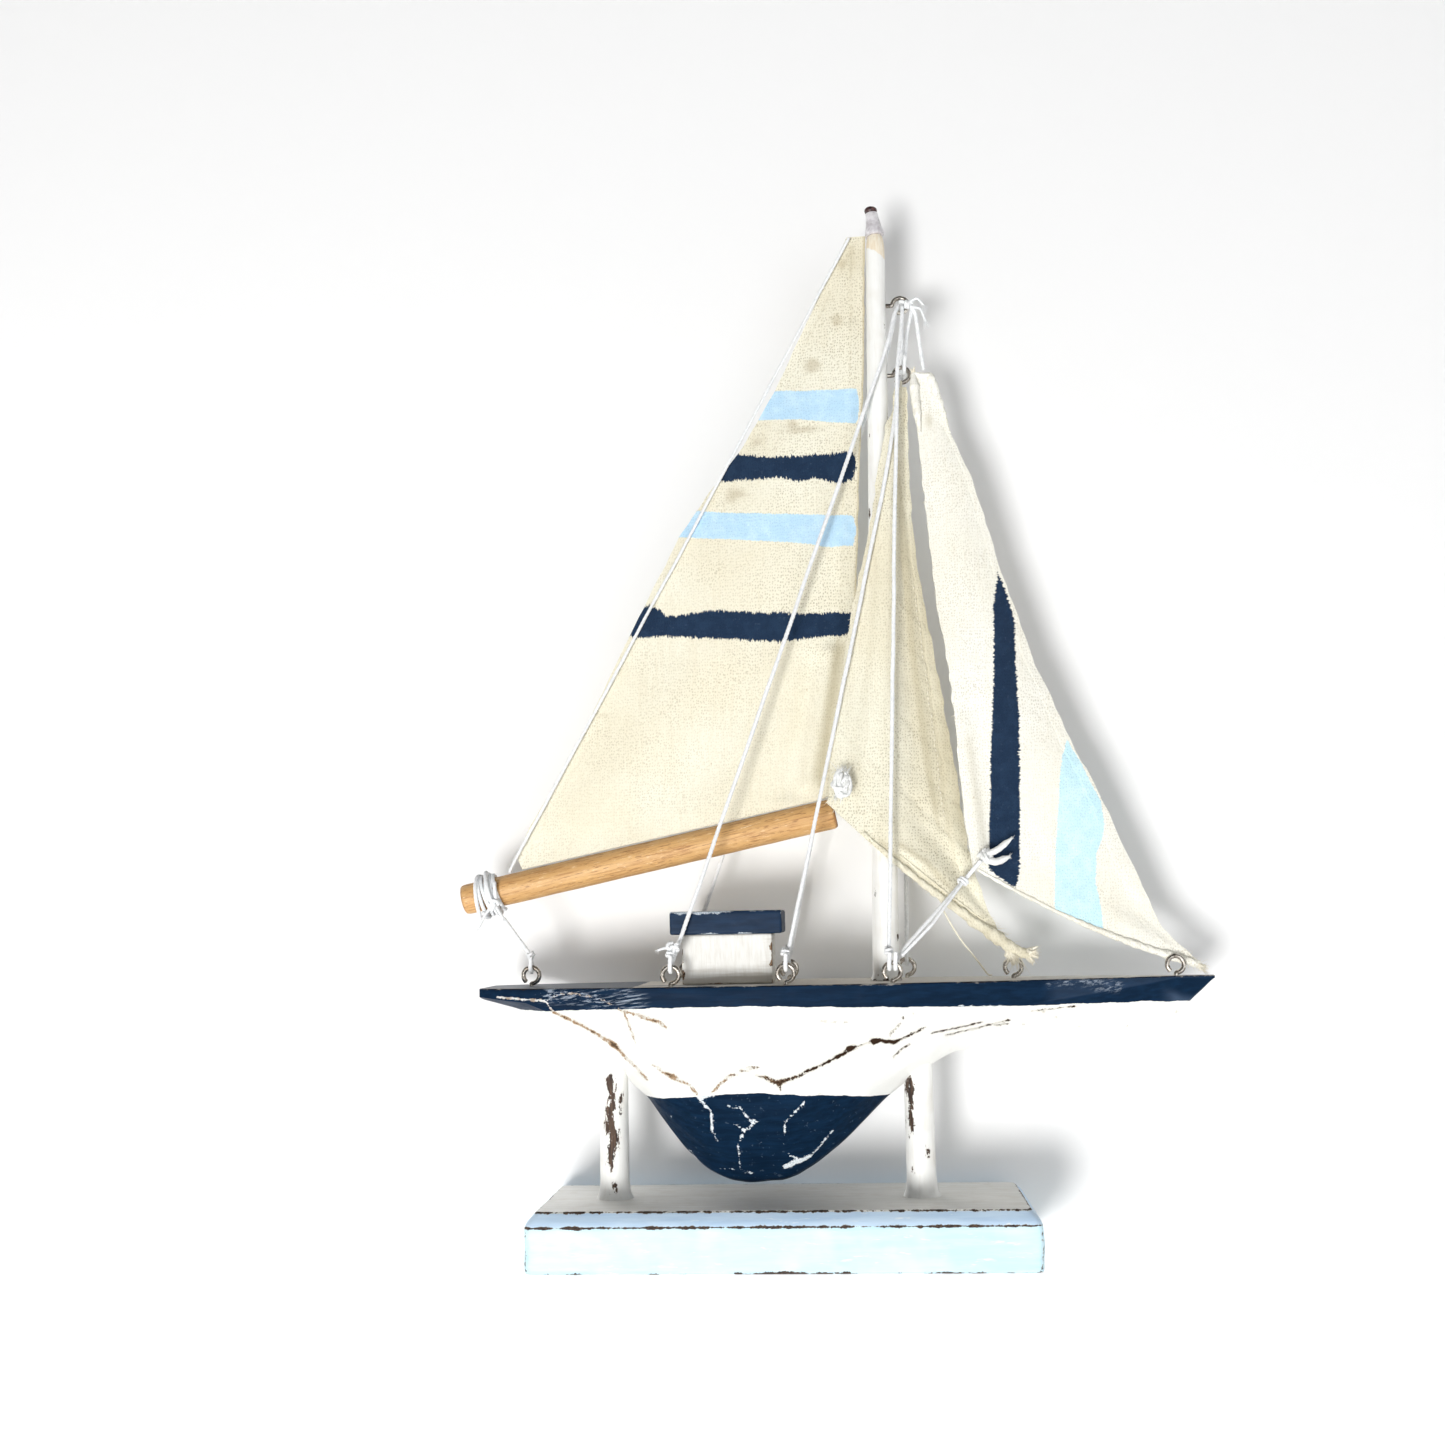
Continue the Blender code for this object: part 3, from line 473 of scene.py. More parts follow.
def hull_material():
    m = Mat("hull_paint", 0.5, spec=0.03)
    zb, zk = m.attr("zb"), m.attr("zk")
    worn, chip, scr = m.attr("worn"), m.attr("chip"), m.attr("scr")
    edge, facet_light_and_scuff = m.attr("edge"), m.attr("facet_light_and_scuff")
    n1 = m.noise(620, 4, 0.62)
    n2 = m.noise(2100, 3, 0.6)
    n3 = m.noise(140, 3, 0.55)
    wob = m.add(m.mul(m.add(n3, -0.5), 1.1), m.mul(m.add(n1, -0.5), 0.55))
    band = m.step(m.add(zb, wob), -0.06, 0.06)
    keel = m.step(m.add(m.mul(zk, -1.0), wob), -0.06, 0.06)
    white, streak = painted_bits(m)
    # grey dirt in streaky patches
    scuff = m.step(m.noise(1.0, 4, 0.65, m.scaled(m.obj, (160, 900, 520))), 0.66, 0.78, 0, 0.35)
    white = m.mix(scuff, white, (0.60, 0.57, 0.52))
    n4 = m.noise(330, 3, 0.6)
    jag = m.add(m.mul(m.add(n1, -0.5), 1.35), m.add(m.mul(m.add(n2, -0.5), 1.0), m.mul(m.add(n4, -0.5), 1.0)))
    halo = m.step(m.add(m.add(worn, 0.32), m.mul(jag, 0.8)), 0.0, 0.35, 0, 0.80)
    white = m.mix(halo, white, (0.56, 0.53, 0.47))
    wide = m.step(m.add(m.add(worn, 2.2), m.mul(jag, 1.5)), 0.0, 2.4, 0, 0.22)
    white = m.mix(wide, white, (0.70, 0.66, 0.58))
    core = m.step(m.add(m.add(worn, -0.12), jag), -0.03, 0.10)
    dark = m.step(m.add(m.mul(m.xyz()[0], 14.0), n2), 0.18, 0.62)
    woodtone = m.mix(dark, WOOD_MID, WOOD_DARK)
    deep = m.step(m.add(m.add(worn, -0.45), jag), -0.03, 0.12)
    woodtone = m.mix(m.mul(deep, 0.8), woodtone, WOOD_DARK)
    white = m.mix(core, white, woodtone)
    # navy
    brush = m.noise(1.0, 4, 0.6, m.scaled(m.obj, (70, 700, 700)))
    navy = m.mix(m.step(brush, 0.35, 0.75), NAVY, tuple(1.55 * x for x in NAVY))
    # painted light: lighter navy on facets that face the light, plus a pale scuff near the bow
    navy = m.mix(m.step(facet_light_and_scuff, 0.0, 1.0, 0, 0.6), navy, (0.11, 0.16, 0.25))
    specks = m.step(m.voronoi(210), 0.052, 0.030, 0, 0.9)
    specks = m.mul(specks, m.step(m.noise(60, 2), 0.56, 0.62))
    navy = m.mix(specks, navy, (0.62, 0.66, 0.70))
    keelc = m.mix(m.step(brush, 0.3, 0.75), NAVY_KEEL, tuple(1.7 * x for x in NAVY_KEEL))
    keelc = m.mix(m.mul(m.step(n1, 0.62, 0.7), 0.12), keelc, (0.3, 0.4, 0.5))
    white_chip = m.mix(m.step(n2, 0.45, 0.65), (0.78, 0.82, 0.84), (0.44, 0.50, 0.54))
    c = m.mix(band, white, navy)
    c = m.mix(keel, c, keelc)
    chips = m.step(m.add(chip, m.add(m.mul(m.add(n1, -0.5), 2.0), m.mul(m.add(n2, -0.5), 1.2))), -0.02, 0.10)
    painted = m.math("MAXIMUM", band, keel)
    c = m.mix(m.mul(chips, painted), c, white_chip)
    # the worn creases run on through the band, with long pale scratches
    thin = m.mix(m.step(n4, 0.42, 0.6), (0.72, 0.72, 0.70), (0.36, 0.29, 0.22))
    c = m.mix(m.mul(m.step(m.add(m.add(worn, -0.02), jag), -0.03, 0.12), band), c, thin)
    hair = m.noise(1.0, 5, 0.7, m.scaled(m.obj, (52, 1500, 1500), (0, 0.12, 0)))
    s = m.mul(m.step(scr, -2.2, 2.2), m.step(hair, 0.50, 0.62, 0, 0.75))
    c = m.mix(m.mul(s, band), c, (0.46, 0.53, 0.62))
    # rubbed deck edge
    e = m.step(m.add(edge, m.add(m.mul(m.add(n1, -0.5), 1.6), m.mul(m.add(n2, -0.5), 0.8))), -0.05, 0.15)
    c = m.mix(m.mul(e, 0.9), c, m.mix(m.step(n3, 0.38, 0.50), (0.42, 0.40, 0.37), (0.022, 0.022, 0.026)))
    m.colour(c)
    m.roughness(m.math("ADD", m.mul(m.math("MAXIMUM", core, chips), 0.25), m.step(streak, 0.3, 0.7, 0.38, 0.52)))
    h = m.add(m.mul(streak, 0.35), m.add(m.mul(n1, 0.35), m.mul(m.math("MAXIMUM", core, m.mul(chips, painted)), -0.8)))
    m.normal(m.bump(h, 0.5, 0.00018))
    return m


def deck_material():
    m = Mat("deck_paint", 0.6, spec=0.35)
    aft_shadow_and_bow_navy, edge = m.attr("aft_shadow_and_bow_navy"), m.attr("edge")
    n1, n2 = m.noise(500, 4, 0.6), m.noise(1800, 3)
    grain = m.noise(1.0, 4, 0.65, m.scaled(m.obj, (60, 900, 900)))
    # deck top grey-beige: partly its paint, partly painted shade on the white
    c = m.mix(m.step(grain, 0.35, 0.7), (0.62, 0.59, 0.54), (0.72, 0.69, 0.64))
    c = m.mix(m.step(n1, 0.58, 0.72, 0, 0.45), c, (0.34, 0.29, 0.24))
    # greyish navy: painted shadow aft of the cabin, and the navy paint at the bow's tip
    navy = m.mix(m.step(grain, 0.3, 0.7), (0.055, 0.075, 0.11), (0.13, 0.155, 0.19))
    c = m.mix(m.step(m.add(aft_shadow_and_bow_navy, m.mul(m.add(n1, -0.5), 3.0)), -0.3, 0.3), c, navy)
    e = m.step(m.add(edge, m.add(m.mul(m.add(n1, -0.5), 2.4), m.mul(m.add(n2, -0.5), 0.8))), -0.1, 0.2)
    c = m.mix(m.mul(e, 0.8), c, (0.16, 0.10, 0.065))
    m.colour(c)
    m.normal(m.bump(m.add(m.mul(grain, 0.6), m.mul(n2, 0.4)), 0.5, 0.00018))
    return m


def base_material():
    m = Mat("stand_paint", 0.5, spec=0.4)
    worn, top, cham = m.attr("worn"), m.attr("top"), m.attr("cham")
    n1, n2, n3 = m.noise(560, 4, 0.62), m.noise(2000, 3), m.noise(70, 3)
    brush = m.noise(1.0, 4, 0.6, m.scaled(m.obj, (45, 500, 420)))
    front = m.mix(m.step(brush, 0.35, 0.7), (0.50, 0.735, 0.85), (0.60, 0.81, 0.89))
    front = m.mix(m.step(n3, 0.45, 0.75, 0, 0.45), front, (0.74, 0.875, 0.91))
    chamfer = m.mix(m.step(brush, 0.3, 0.7), (0.46, 0.62, 0.80), (0.58, 0.73, 0.88))
    # top face grey-beige: partly its paint, partly painted shade
    top_paint_and_shade = m.mix(m.step(brush, 0.35, 0.7), (0.70, 0.69, 0.65), (0.80, 0.795, 0.765))
    top_paint_and_shade = m.mix(m.step(m.noise(160, 3), 0.5, 0.72, 0, 0.35), top_paint_and_shade, (0.60, 0.56, 0.49))
    c = m.mix(m.step(m.add(cham, m.mul(m.add(n1, -0.5), 1.2)), -0.1, 0.1), front, chamfer)
    c = m.mix(m.step(m.add(top, m.mul(m.add(n1, -0.5), 0.8)), -0.1, 0.1), c, top_paint_and_shade)
    pale = m.step(m.noise(1.0, 4, 0.7, m.scaled(m.obj, (110, 700, 600))), 0.60, 0.72, 0, 0.7)
    c = m.mix(pale, c, (0.86, 0.90, 0.91))
    jag = m.add(m.mul(m.add(n1, -0.5), 1.7), m.mul(m.add(n2, -0.5), 0.9))
    core = m.step(m.add(worn, jag), -0.03, 0.12)
    wood = m.mix(m.step(n2, 0.42, 0.72), (0.020, 0.012, 0.009), (0.12, 0.07, 0.042))
    c = m.mix(m.step(m.add(m.add(worn, 0.4), jag), 0.0, 0.7, 0, 0.45), c, (0.62, 0.60, 0.54))
    c = m.mix(core, c, wood)
    m.colour(c)
    m.roughness(m.step(m.add(brush, m.mul(core, 0.5)), 0.3, 0.9, 0.36, 0.7))
    m.normal(m.bump(m.add(m.mul(brush, 0.4), m.add(m.mul(n1, 0.3), m.mul(core, -0.9))), 0.5, 0.00018))
    return m


def dowel_material(name, glue=False):
    """White painted dowel with torn patches down to dark wood."""
    m = Mat(name, 0.45, spec=0.45)
    worn, bare = m.attr("worn"), m.attr("bare")
    n1, n2 = m.noise(620, 4, 0.62), m.noise(2200, 3)
    streak = m.noise(1.0, 4, 0.65, m.scaled(m.obj, (900, 900, 90)))
    c = m.mix(m.step(streak, 0.45, 0.75, 0, 0.5), WHITE, (0.74, 0.72, 0.67))
    c = m.mix(m.step(m.noise(120, 2), 0.5, 0.8, 0, 0.35), c, (0.70, 0.66, 0.58))
    tear = m.noise(1.0, 4, 0.7, m.scaled(m.obj, (640, 640, 230)))
    jag = m.add(m.mul(m.add(tear, -0.53), 6.5), m.mul(m.add(n2, -0.5), 1.6))
    grain = m.noise(1.0, 5, 0.7, m.scaled(m.obj, (1500, 1500, 120)))
    wood = m.mix(m.step(grain, 0.35, 0.65), (0.022, 0.013, 0.010), (0.10, 0.055, 0.032))
    barec = m.mix(m.step(grain, 0.35, 0.65), (0.87, 0.81, 0.68), (0.77, 0.66, 0.49))
    c = m.mix(m.step(m.add(m.add(worn, 0.7), jag), 0.0, 0.9, 0, 0.4), c, (0.60, 0.56, 0.50))
    core = m.step(m.add(worn, jag), -0.03, 0.12)
    c = m.mix(core, c, wood)
    c = m.mix(m.step(m.add(bare, m.mul(m.add(n1, -0.5), 1.6)), -0.1, 0.25), c, barec)
    m.colour(c)
    m.roughness(m.step(m.add(streak, m.mul(core, 0.6)), 0.3, 1.0, 0.34, 0.7))
    m.normal(m.bump(m.add(m.mul(streak, 0.45), m.add(m.mul(n1, 0.3), m.mul(core, -0.9))), 0.5, 0.00018))
    return m


def block_material(name, base, alt, worn_dark, worn_light, streaks=(90, 700, 700), spec=0.14):
    m = Mat(name, 0.5, spec=spec)
    worn, shade = m.attr("worn"), m.attr("shade")
    n1, n2 = m.noise(640, 4, 0.62), m.noise(2200, 3)
    brush = m.noise(1.0, 4, 0.65, m.scaled(m.obj, streaks))
    c = m.mix(m.step(brush, 0.35, 0.72), base, alt)
    jag = m.add(m.mul(m.add(n1, -0.5), 1.8), m.mul(m.add(n2, -0.5), 0.9))
    # from the shade attribute: painted shade just under the roof's edge, darker towards the fore end, and brown smears
    # low down, broken up by streaky noise
    smear_and_shade_streaks = m.noise(1.0, 4, 0.65, m.scaled(m.obj, (60, 60, 900)))
    c = m.mix(m.step(m.add(shade, m.mul(m.add(smear_and_shade_streaks, -0.5), 4.0)), -0.4, 1.4, 0, 0.75), c, (0.50, 0.455, 0.385))
    core = m.step(m.add(worn, jag), -0.03, 0.15)
    c = m.mix(core, c, m.mix(m.step(n2, 0.4, 0.65), worn_dark, worn_light))
    m.colour(c)
    m.normal(m.bump(m.add(m.mul(brush, 0.45), m.add(m.mul(n1, 0.35), m.mul(core, -0.6))), 0.5, 0.00018))
    return m


def boom_material():
    m = Mat("boom_wood", 0.5, spec=0.4)
    turn = (0, math.atan(0.2085), 0)
    end = m.attr("end")
    fine = m.noise(1.0, 6, 0.72, m.scaled(m.obj, (95, 1500, 1500), turn))
    pores = m.noise(1.0, 4, 0.7, m.scaled(m.obj, (230, 1500, 1500), turn))
    broad = m.noise(1.0, 3, 0.5, m.scaled(m.obj, (18, 260, 260), turn), 0.6)
    c = m.mix(m.step(broad, 0.3, 0.7), (0.60, 0.345, 0.135), (0.70, 0.425, 0.175))
    c = m.mix(m.step(fine, 0.48, 0.66, 0, 0.8), c, (0.42, 0.20, 0.07))
    c = m.mix(m.step(fine, 0.34, 0.22, 0, 0.5), c, (0.80, 0.56, 0.29))
    c = m.mix(m.step(pores, 0.55, 0.66, 0, 0.85), c, (0.33, 0.155, 0.060))
    c = m.mix(m.step(pores, 0.43, 0.28, 0, 0.8), c, (0.88, 0.70, 0.45))
    c = m.mix(m.step(end, 0.0, 1.0, 0, 0.85), c, (0.20, 0.075, 0.028))
    m.colour(c)
    m.roughness(m.step(fine, 0.3, 0.7, 0.42, 0.62))
    m.normal(m.bump(m.add(m.mul(fine, 0.5), m.mul(pores, -0.5)), 0.55, 0.00015))
    return m


def cloth_material(name, cream, warm, stripes, direction, stain_and_luff_shadow=False, sheen=0.06):
    """Plain-weave muslin.  stripes are (attribute, light colour, dark colour)
    and direction is the axis that a stripe's fringe runs along."""
    m = Mat(name, 0.92, spec=0.15)
    x, y, z = m.xyz()
    bent = m.n("ShaderNodeVectorMath", operation="MULTIPLY_ADD")
    soft = m.n("ShaderNodeTexNoise")
    m.put(soft.inputs["Vector"], m.obj)
    soft.inputs["Scale"].default_value = 75
    soft.inputs["Detail"].default_value = 2
    m.put(bent.inputs[0], soft.outputs["Color"])
    bent.inputs[1].default_value = (0.0022, 0.0, 0.0022)
    m.put(bent.inputs[2], m.obj)
    flat = m.scaled(bent.outputs[0], (1220, 960, 1), (math.pi / 2, 0, 0))
    dist = m.dots(flat, 0.62)
    open_ = m.noise(640, 2, 0.6)
    hole = m.step(m.add(dist, m.mul(m.add(open_, -0.5), 0.60)), 0.31, 0.10)
    fine = m.noise(1.0, 2, 0.6, m.scaled(m.obj, (1900, 300, 700)))
    weave = m.add(m.mul(dist, 1.2), m.mul(fine, 0.8))
    warp_slub = m.noise(1.0, 3, 0.6, m.scaled(m.obj, (900, 300, 60)))
    weft_slub = m.noise(1.0, 3, 0.6, m.scaled(m.obj, (60, 300, 900)))
    broad = m.noise(26, 3, 0.5)
    patch = m.noise(42, 3, 0.6)
    c = m.mix(m.step(broad, 0.3, 0.7), cream, warm)
    c = m.mix(m.step(warp_slub, 0.50, 0.74, 0, 0.22), c, tuple(a * b for a, b in zip(warm, (0.84, 0.80, 0.72))))
    c = m.mix(m.step(weft_slub, 0.55, 0.78, 0, 0.14), c, tuple(a * b for a, b in zip(warm, (0.86, 0.83, 0.77))))
    c = m.mix(m.step(fine, 0.42, 0.70, 0, 0.20), c, tuple(a * b for a, b in zip(warm, (0.82, 0.79, 0.72))))
    side = m.attr("dense")
    pin = m.mul(hole, m.math("MINIMUM", m.add(m.step(patch, 0.36, 0.66, 0.08, 0.40), m.mul(side, 0.36)), 0.8))
    c = m.mix(pin, c, tuple(a * b for a, b in zip(warm, (0.46, 0.42, 0.33))))
    neps = m.step(m.voronoi(1.0, m.scaled(m.obj, (185, 100, 120))), 0.060, 0.030, 0, 0.6)
    neps = m.mul(neps, m.step(m.noise(50, 2), 0.50, 0.60))
    c = m.mix(neps, c, (0.42, 0.31, 0.17))
    # brown stains, and painted shadow as a brown line along the luff by the mast
    if stain_and_luff_shadow:
        st = m.step(m.add(m.attr("stain_and_luff_shadow"), m.mul(m.add(m.noise(330, 4), -0.5), 1.1)), -0.1, 0.9, 0, 0.42)
        c = m.mix(st, c, (0.36, 0.28, 0.15))
    shade = m.attr("shade")
    c = m.mix(m.step(shade, 0.0, 1.0, 0, 0.62), c, tuple(a * b for a, b in zip(warm, (0.66, 0.62, 0.52))))
    if direction == "z":
        fringe = m.noise(1.0, 3, 0.7, m.scaled(m.obj, (2300, 200, 420)))
    else:
        fringe = m.noise(1.0, 3, 0.7, m.scaled(m.obj, (500, 200, 1700)))
    slow = m.noise(120, 2)
    for attr, light, dark in stripes:
        reach = (3.8 if direction == "z" else 3.0) if attr == "nv" else 1.4
        f = m.add(m.attr(attr), m.add(m.mul(m.add(fringe, -0.5), reach), m.mul(m.add(slow, -0.5), 0.8)))
        s = m.step(f, -0.10, 0.14)
        dry = m.step(m.noise(240, 3, 0.6), 0.40, 0.68)
        paint = m.mix(dry, dark, light)
        paint = m.mix(m.mul(hole, 0.22), paint, tuple(0.7 * q for q in dark))
        lint = m.mul(m.step(m.noise(1150, 3, 0.7), 0.60, 0.70), 0.30)
        paint = m.mix(lint, paint, tuple(min(1.0, q * 1.5 + 0.06) for q in light))
        c = m.mix(s, c, paint)
    m.colour(c)
    h = m.add(m.add(m.mul(weave, 0.30), m.mul(hole, -0.45)),
              m.add(m.mul(warp_slub, 0.45), m.mul(weft_slub, 0.35)))
    m.normal(m.bump(h, 0.6, 0.00022))
    m.b.inputs["Sheen Weight"].default_value = sheen
    m.b.inputs["Sheen Roughness"].default_value = 0.6
    return m


def string_material(name, light, shade, scale=1.0):
    m = Mat(name, 0.88, spec=0.2)
    n1 = m.noise(900 * scale, 4, 0.65)
    n2 = m.noise(160, 2)
    fibre = m.noise(1.0, 4, 0.7, m.scaled(m.obj, (3200, 3200, 1500)))
    c = m.mix(m.step(n1, 0.3, 0.7), shade, light)
    c = m.mix(m.step(n2, 0.5, 0.75, 0, 0.35), c, tuple(x * y for x, y in zip(light, (0.90, 0.88, 0.84))))
    m.colour(c)
    m.normal(m.bump(m.add(n1, fibre), 0.6, 0.00012))
    m.b.inputs["Sheen Weight"].default_value = 0.3
    return m


def nickel_material():
    m = Mat("nickel", 0.22, 1.0)
    n = m.noise(700, 4, 0.6)
    c = m.mix(m.step(n, 0.35, 0.7), (0.70, 0.66, 0.60), (0.24, 0.205, 0.165))
    c = m.mix(m.step(m.noise(380, 3), 0.54, 0.68, 0, 0.75), c, (0.060, 0.045, 0.035))
    m.colour(c)
    m.roughness(m.step(n, 0.3, 0.75, 0.14, 0.38))
    m.normal(m.bump(m.noise(1.0, 3, 0.6, m.scaled(m.obj, (2600, 2600, 2600))), 0.25, 0.00006))
    return m


HULL, DECK, BASE = hull_material(), deck_material(), base_material()
POST, MAST = dowel_material("post_paint"), dowel_material("mast_paint")
CABIN = block_material("cabin_paint", (0.83, 0.825, 0.79), (0.74, 0.72, 0.67), (0.07, 0.035, 0.02), (0.36, 0.24, 0.15), (900, 900, 120))
ROOF = block_material("roof_paint", NAVY_ROOF, tuple(1.5 * q for q in NAVY_ROOF), (0.30, 0.36, 0.42), (0.60, 0.64, 0.68))
BOOM = boom_material()
CREAM, WARM = (0.815, 0.790, 0.665), (0.775, 0.725, 0.575)
PALE, PALE_W = (0.885, 0.875, 0.815), (0.86, 0.835, 0.735)
LBLUE = ((0.54, 0.735, 0.88), (0.46, 0.67, 0.84))
LBLUE2 = ((0.64, 0.86, 0.91), (0.56, 0.80, 0.88))
DBLUE = ((0.0135, 0.034, 0.074), (0.0095, 0.026, 0.060))
MAIN = cloth_material("mainsail_cloth", CREAM, WARM, [("lb", *LBLUE), ("nv", *DBLUE)], "z", True)
STAY = cloth_material("staysail_cloth", (0.81, 0.785, 0.655), (0.75, 0.70, 0.545), [], "z")
JIB = cloth_material("jib_cloth", PALE, PALE_W, [("lb", *LBLUE2), ("nv", *DBLUE)], "x")
STRING = string_material("string", (0.88, 0.89, 0.895), (0.74, 0.755, 0.77))
TIE = string_material("knot_string", (0.87, 0.875, 0.865), (0.70, 0.71, 0.70))
FRINGE = string_material("loose_fibre", (0.87, 0.835, 0.72), (0.76, 0.70, 0.56))
NICKEL = nickel_material()


# =====================================================================
# the hull: one carved block, painted in three
# =====================================================================
DECK_Z = 84.6
PROFILE = [(-94.0, 80.8), (-83.0, 77.0), (-72.0, 71.9), (-57.0, 64.1),
           (-50.0, 57.0), (-47.2, 53.0), (-42.4, 48.7), (-38.7, 43.5),
           (-34.6, 37.9), (-29.3, 31.6), (-22.4, 25.7), (-15.8, 22.9),
           (-9.8, 22.2), (-2.5, 22.6), (4.1, 24.3), (8.9, 27.0),
           (16.2, 32.1), (22.4, 37.3), (26.9, 41.6), (30.4, 45.2),
           (34.3, 48.7), (47.1, 57.4), (56.1, 61.9), (69.3, 63.5),
           (81.8, 64.5), (100.6, 66.7), (116.3, 69.5), (124.8, 72.9),
           (128.8, 76.6), (136.4, 83.7)]
KNUCKLE = [(-94.0, 82.0), (-78.0, 80.2), (-70.0, 77.0), (-62.0, 73.0),
           (-52.0, 67.4), (-44.5, 60.0), (-38.0, 56.8), (-26.0, 53.6),
           (-14.0, 56.6), (-2.0, 55.6), (10.0, 59.0), (21.0, 64.0),
           (31.0, 67.2), (49.0, 71.4), (65.0, 74.5), (82.0, 78.2),
           (100.0, 81.2), (113.0, 83.0), (125.0, 83.8), (136.4, 84.2)]
PLAN = [(-94.0, 12.5), (-90.0, 14.6), (-80.0, 18.0), (-60.0, 22.0),
        (-40.0, 24.3), (-20.0, 25.3), (0.0, 25.5), (20.0, 25.0),
        (40.0, 23.4), (60.0, 20.4), (80.0, 16.2), (100.0, 11.0),
        (115.0, 6.7), (128.0, 3.0), (136.4, 1.5)]
BOTTOM = [(-94.0, 7.0), (-80.0, 5.0), (-60.0, 4.0), (-40.0, 3.2),
          (-10.0, 2.8), (30.0, 3.0), (60.0, 2.6), (100.0, 2.2),
          (125.0, 1.4), (136.4, 0.8)]
BAND_LINE = [(-94, 77.2), (-81, 77.5), (-52, 78.1), (-17, 78.5), (30, 77.6), (64, 76.9), (94, 76.8), (129, 76.6), (136, 76.5)]
KEEL_LINE = [(-60, 48.0), (-42, 49.6), (-24, 51.5), (-8, 52.2), (13, 50.8), (34, 49.0), (50, 48)]

WORN = [
    line(0.45, (-87.7, 82.1), (-76.6, 81.2), (-71.4, 80.8), (-68.8, 77.2)),
    line(0.62, (-68.8, 77.2), (-60.0, 73.4), (-50.3, 67.6), (-43.0, 60.2), (-40.1, 56.8)),
    [(-52.6, 69.2, 0.7), (-50.0, 67.2, 1.3), (-48.0, 65.6, 0.6)],
    line(0.30, (-71.4, 80.8), (-67.8, 82.6), (-62.9, 83.2), (-52.8, 81.0), (-46.6, 77.2)),
    [(-46.9, 77.9, 0.5), (-41.5, 76.0, 0.8), (-35.8, 74.1, 0.75), (-33.3, 72.3, 0.3)],
    line(0.36, (-46.6, 77.2), (-45.4, 74.2), (-43.7, 69.3), (-42.5, 67.2)),
    [(-38.6, 61.4, 0.3), (-34.0, 58.6, 0.7), (-31.9, 57.4, 1.3), (-29.4, 56.2, 0.6), (-26.7, 55.0, 0.55), (-24.7, 52.2, 0.5)],
    [(-20.1, 52.7, 0.5), (-15.3, 57.0, 0.6), (-11.0, 59.1, 0.7), (-8.0, 59.8, 0.95), (-5.2, 60.2, 0.4)],
    [(-7.7, 58.4, 0.4), (-2.3, 56.2, 0.85), (0.4, 55.3, 1.1), (5.3, 57.0, 0.7), (13.0, 60.2, 0.65), (22.2, 64.9, 0.8)],
    [(21.0, 64.4, 0.6), (22.2, 65.3, 1.35), (23.6, 65.9, 0.7)],
    line(0.42, (22.2, 64.9), (29.2, 67.4)),
    line(0.42, (0.4, 55.3), (0.6, 53.1)),
    [(29.2, 67.4, 1.4), (31.3, 67.7, 0.9), (35.3, 66.6, 0.9), (38.0, 67.8, 0.6), (41.1, 69.3, 0.5), (45.0, 71.0, 0.3)],
    line(0.42, (34.4, 69.1), (37.5, 72.4)), [(38.5, 74.1, 0.55)],
    line(0.32, (35.2, 61.8), (38.3, 64.5), (40.5, 65.7)),
    line(0.40, (47.2, 69.0), (55.2, 70.5), (62.6, 71.9)),
    line(0.38, (51.6, 68.1), (62.2, 70.2), (71.4, 72.5)),
    line(0.34, (67.1, 70.7), (70.9, 71.2)),
    line(0.28, (13.7, 73.4), (21.2, 73.3)),
    [(41.5, 75.3, 0.5)], [(85.9, 72.6, 0.45)], [(93.7, 69.4, 0.4)], [(75.9, 70.7, 0.4)],
    [(108.9, 69.0, 0.4)], [(124.3, 73.3, 0.45)], [(12.7, 51.4, 0.4)], [(81.9, 74.7, 0.6)],
    line(0.22, (78.0, 75.0), (92.0, 76.0)),
]
CHIPS = [
    [(-24.9, 52.4, 0.9), (-23.0, 49.6, 0.7), (-20.6, 46.4, 0.75), (-20.9, 40.6, 0.5), (-19.3, 37.3, 0.6)],
    [(-24.0, 51.2, 1.1), (-19.5, 51.8, 0.5)],
    [(-16.4, 48.6, 0.35), (-11.8, 47.9, 0.45), (-9.0, 43.8, 0.55), (-6.8, 43.7, 0.9)],
    [(-6.8, 43.7, 0.7), (-10.7, 40.5, 0.9), (-13.2, 35.6, 0.5), (-13.2, 30.5, 0.4), (-12.5, 27.1, 0.55), (-9.6, 26.3, 0.5)],
    [(-13.8, 42.6, 0.35), (-10.7, 40.5, 0.4)],
    [(7.7, 49.1, 0.5), (4.4, 45.6, 0.45), (1.7, 42.9, 0.5), (1.1, 36.4, 0.3)],
    [(0.6, 28.2, 1.1), (3.8, 29.4, 1.7), (7.0, 30.6, 1.5), (9.0, 31.6, 0.6), (12.0, 34.6, 0.35), (16.2, 39.7, 0.55)],
    [(2.0, 32.2, 0.4), (4.6, 31.0, 0.7)],
    line(0.55, (-28.9, 33.1), (-26.8, 29.5)),
    line(0.22, (-19.5, 27.3), (-13.1, 27.4)),
    [(-34.0, 44.1, 0.5)], [(-5.7, 36.5, 0.45)], [(-0.5, 47.4, 0.45)],
    line(0.35, (55.0, 77.2), (70.0, 77.0)),
]
SCRATCH = [line(2.6, (-71.0, 83.4), (-62.0, 83.2), (-52.0, 81.4), (-42.0, 79.8)),
           line(1.6, (-60.0, 84.0), (-46.0, 83.2)),
           line(0.5, (84.0, 83.8), (100.0, 83.7)), line(0.9, (98.5, 82.6), (105.0, 82.0))]


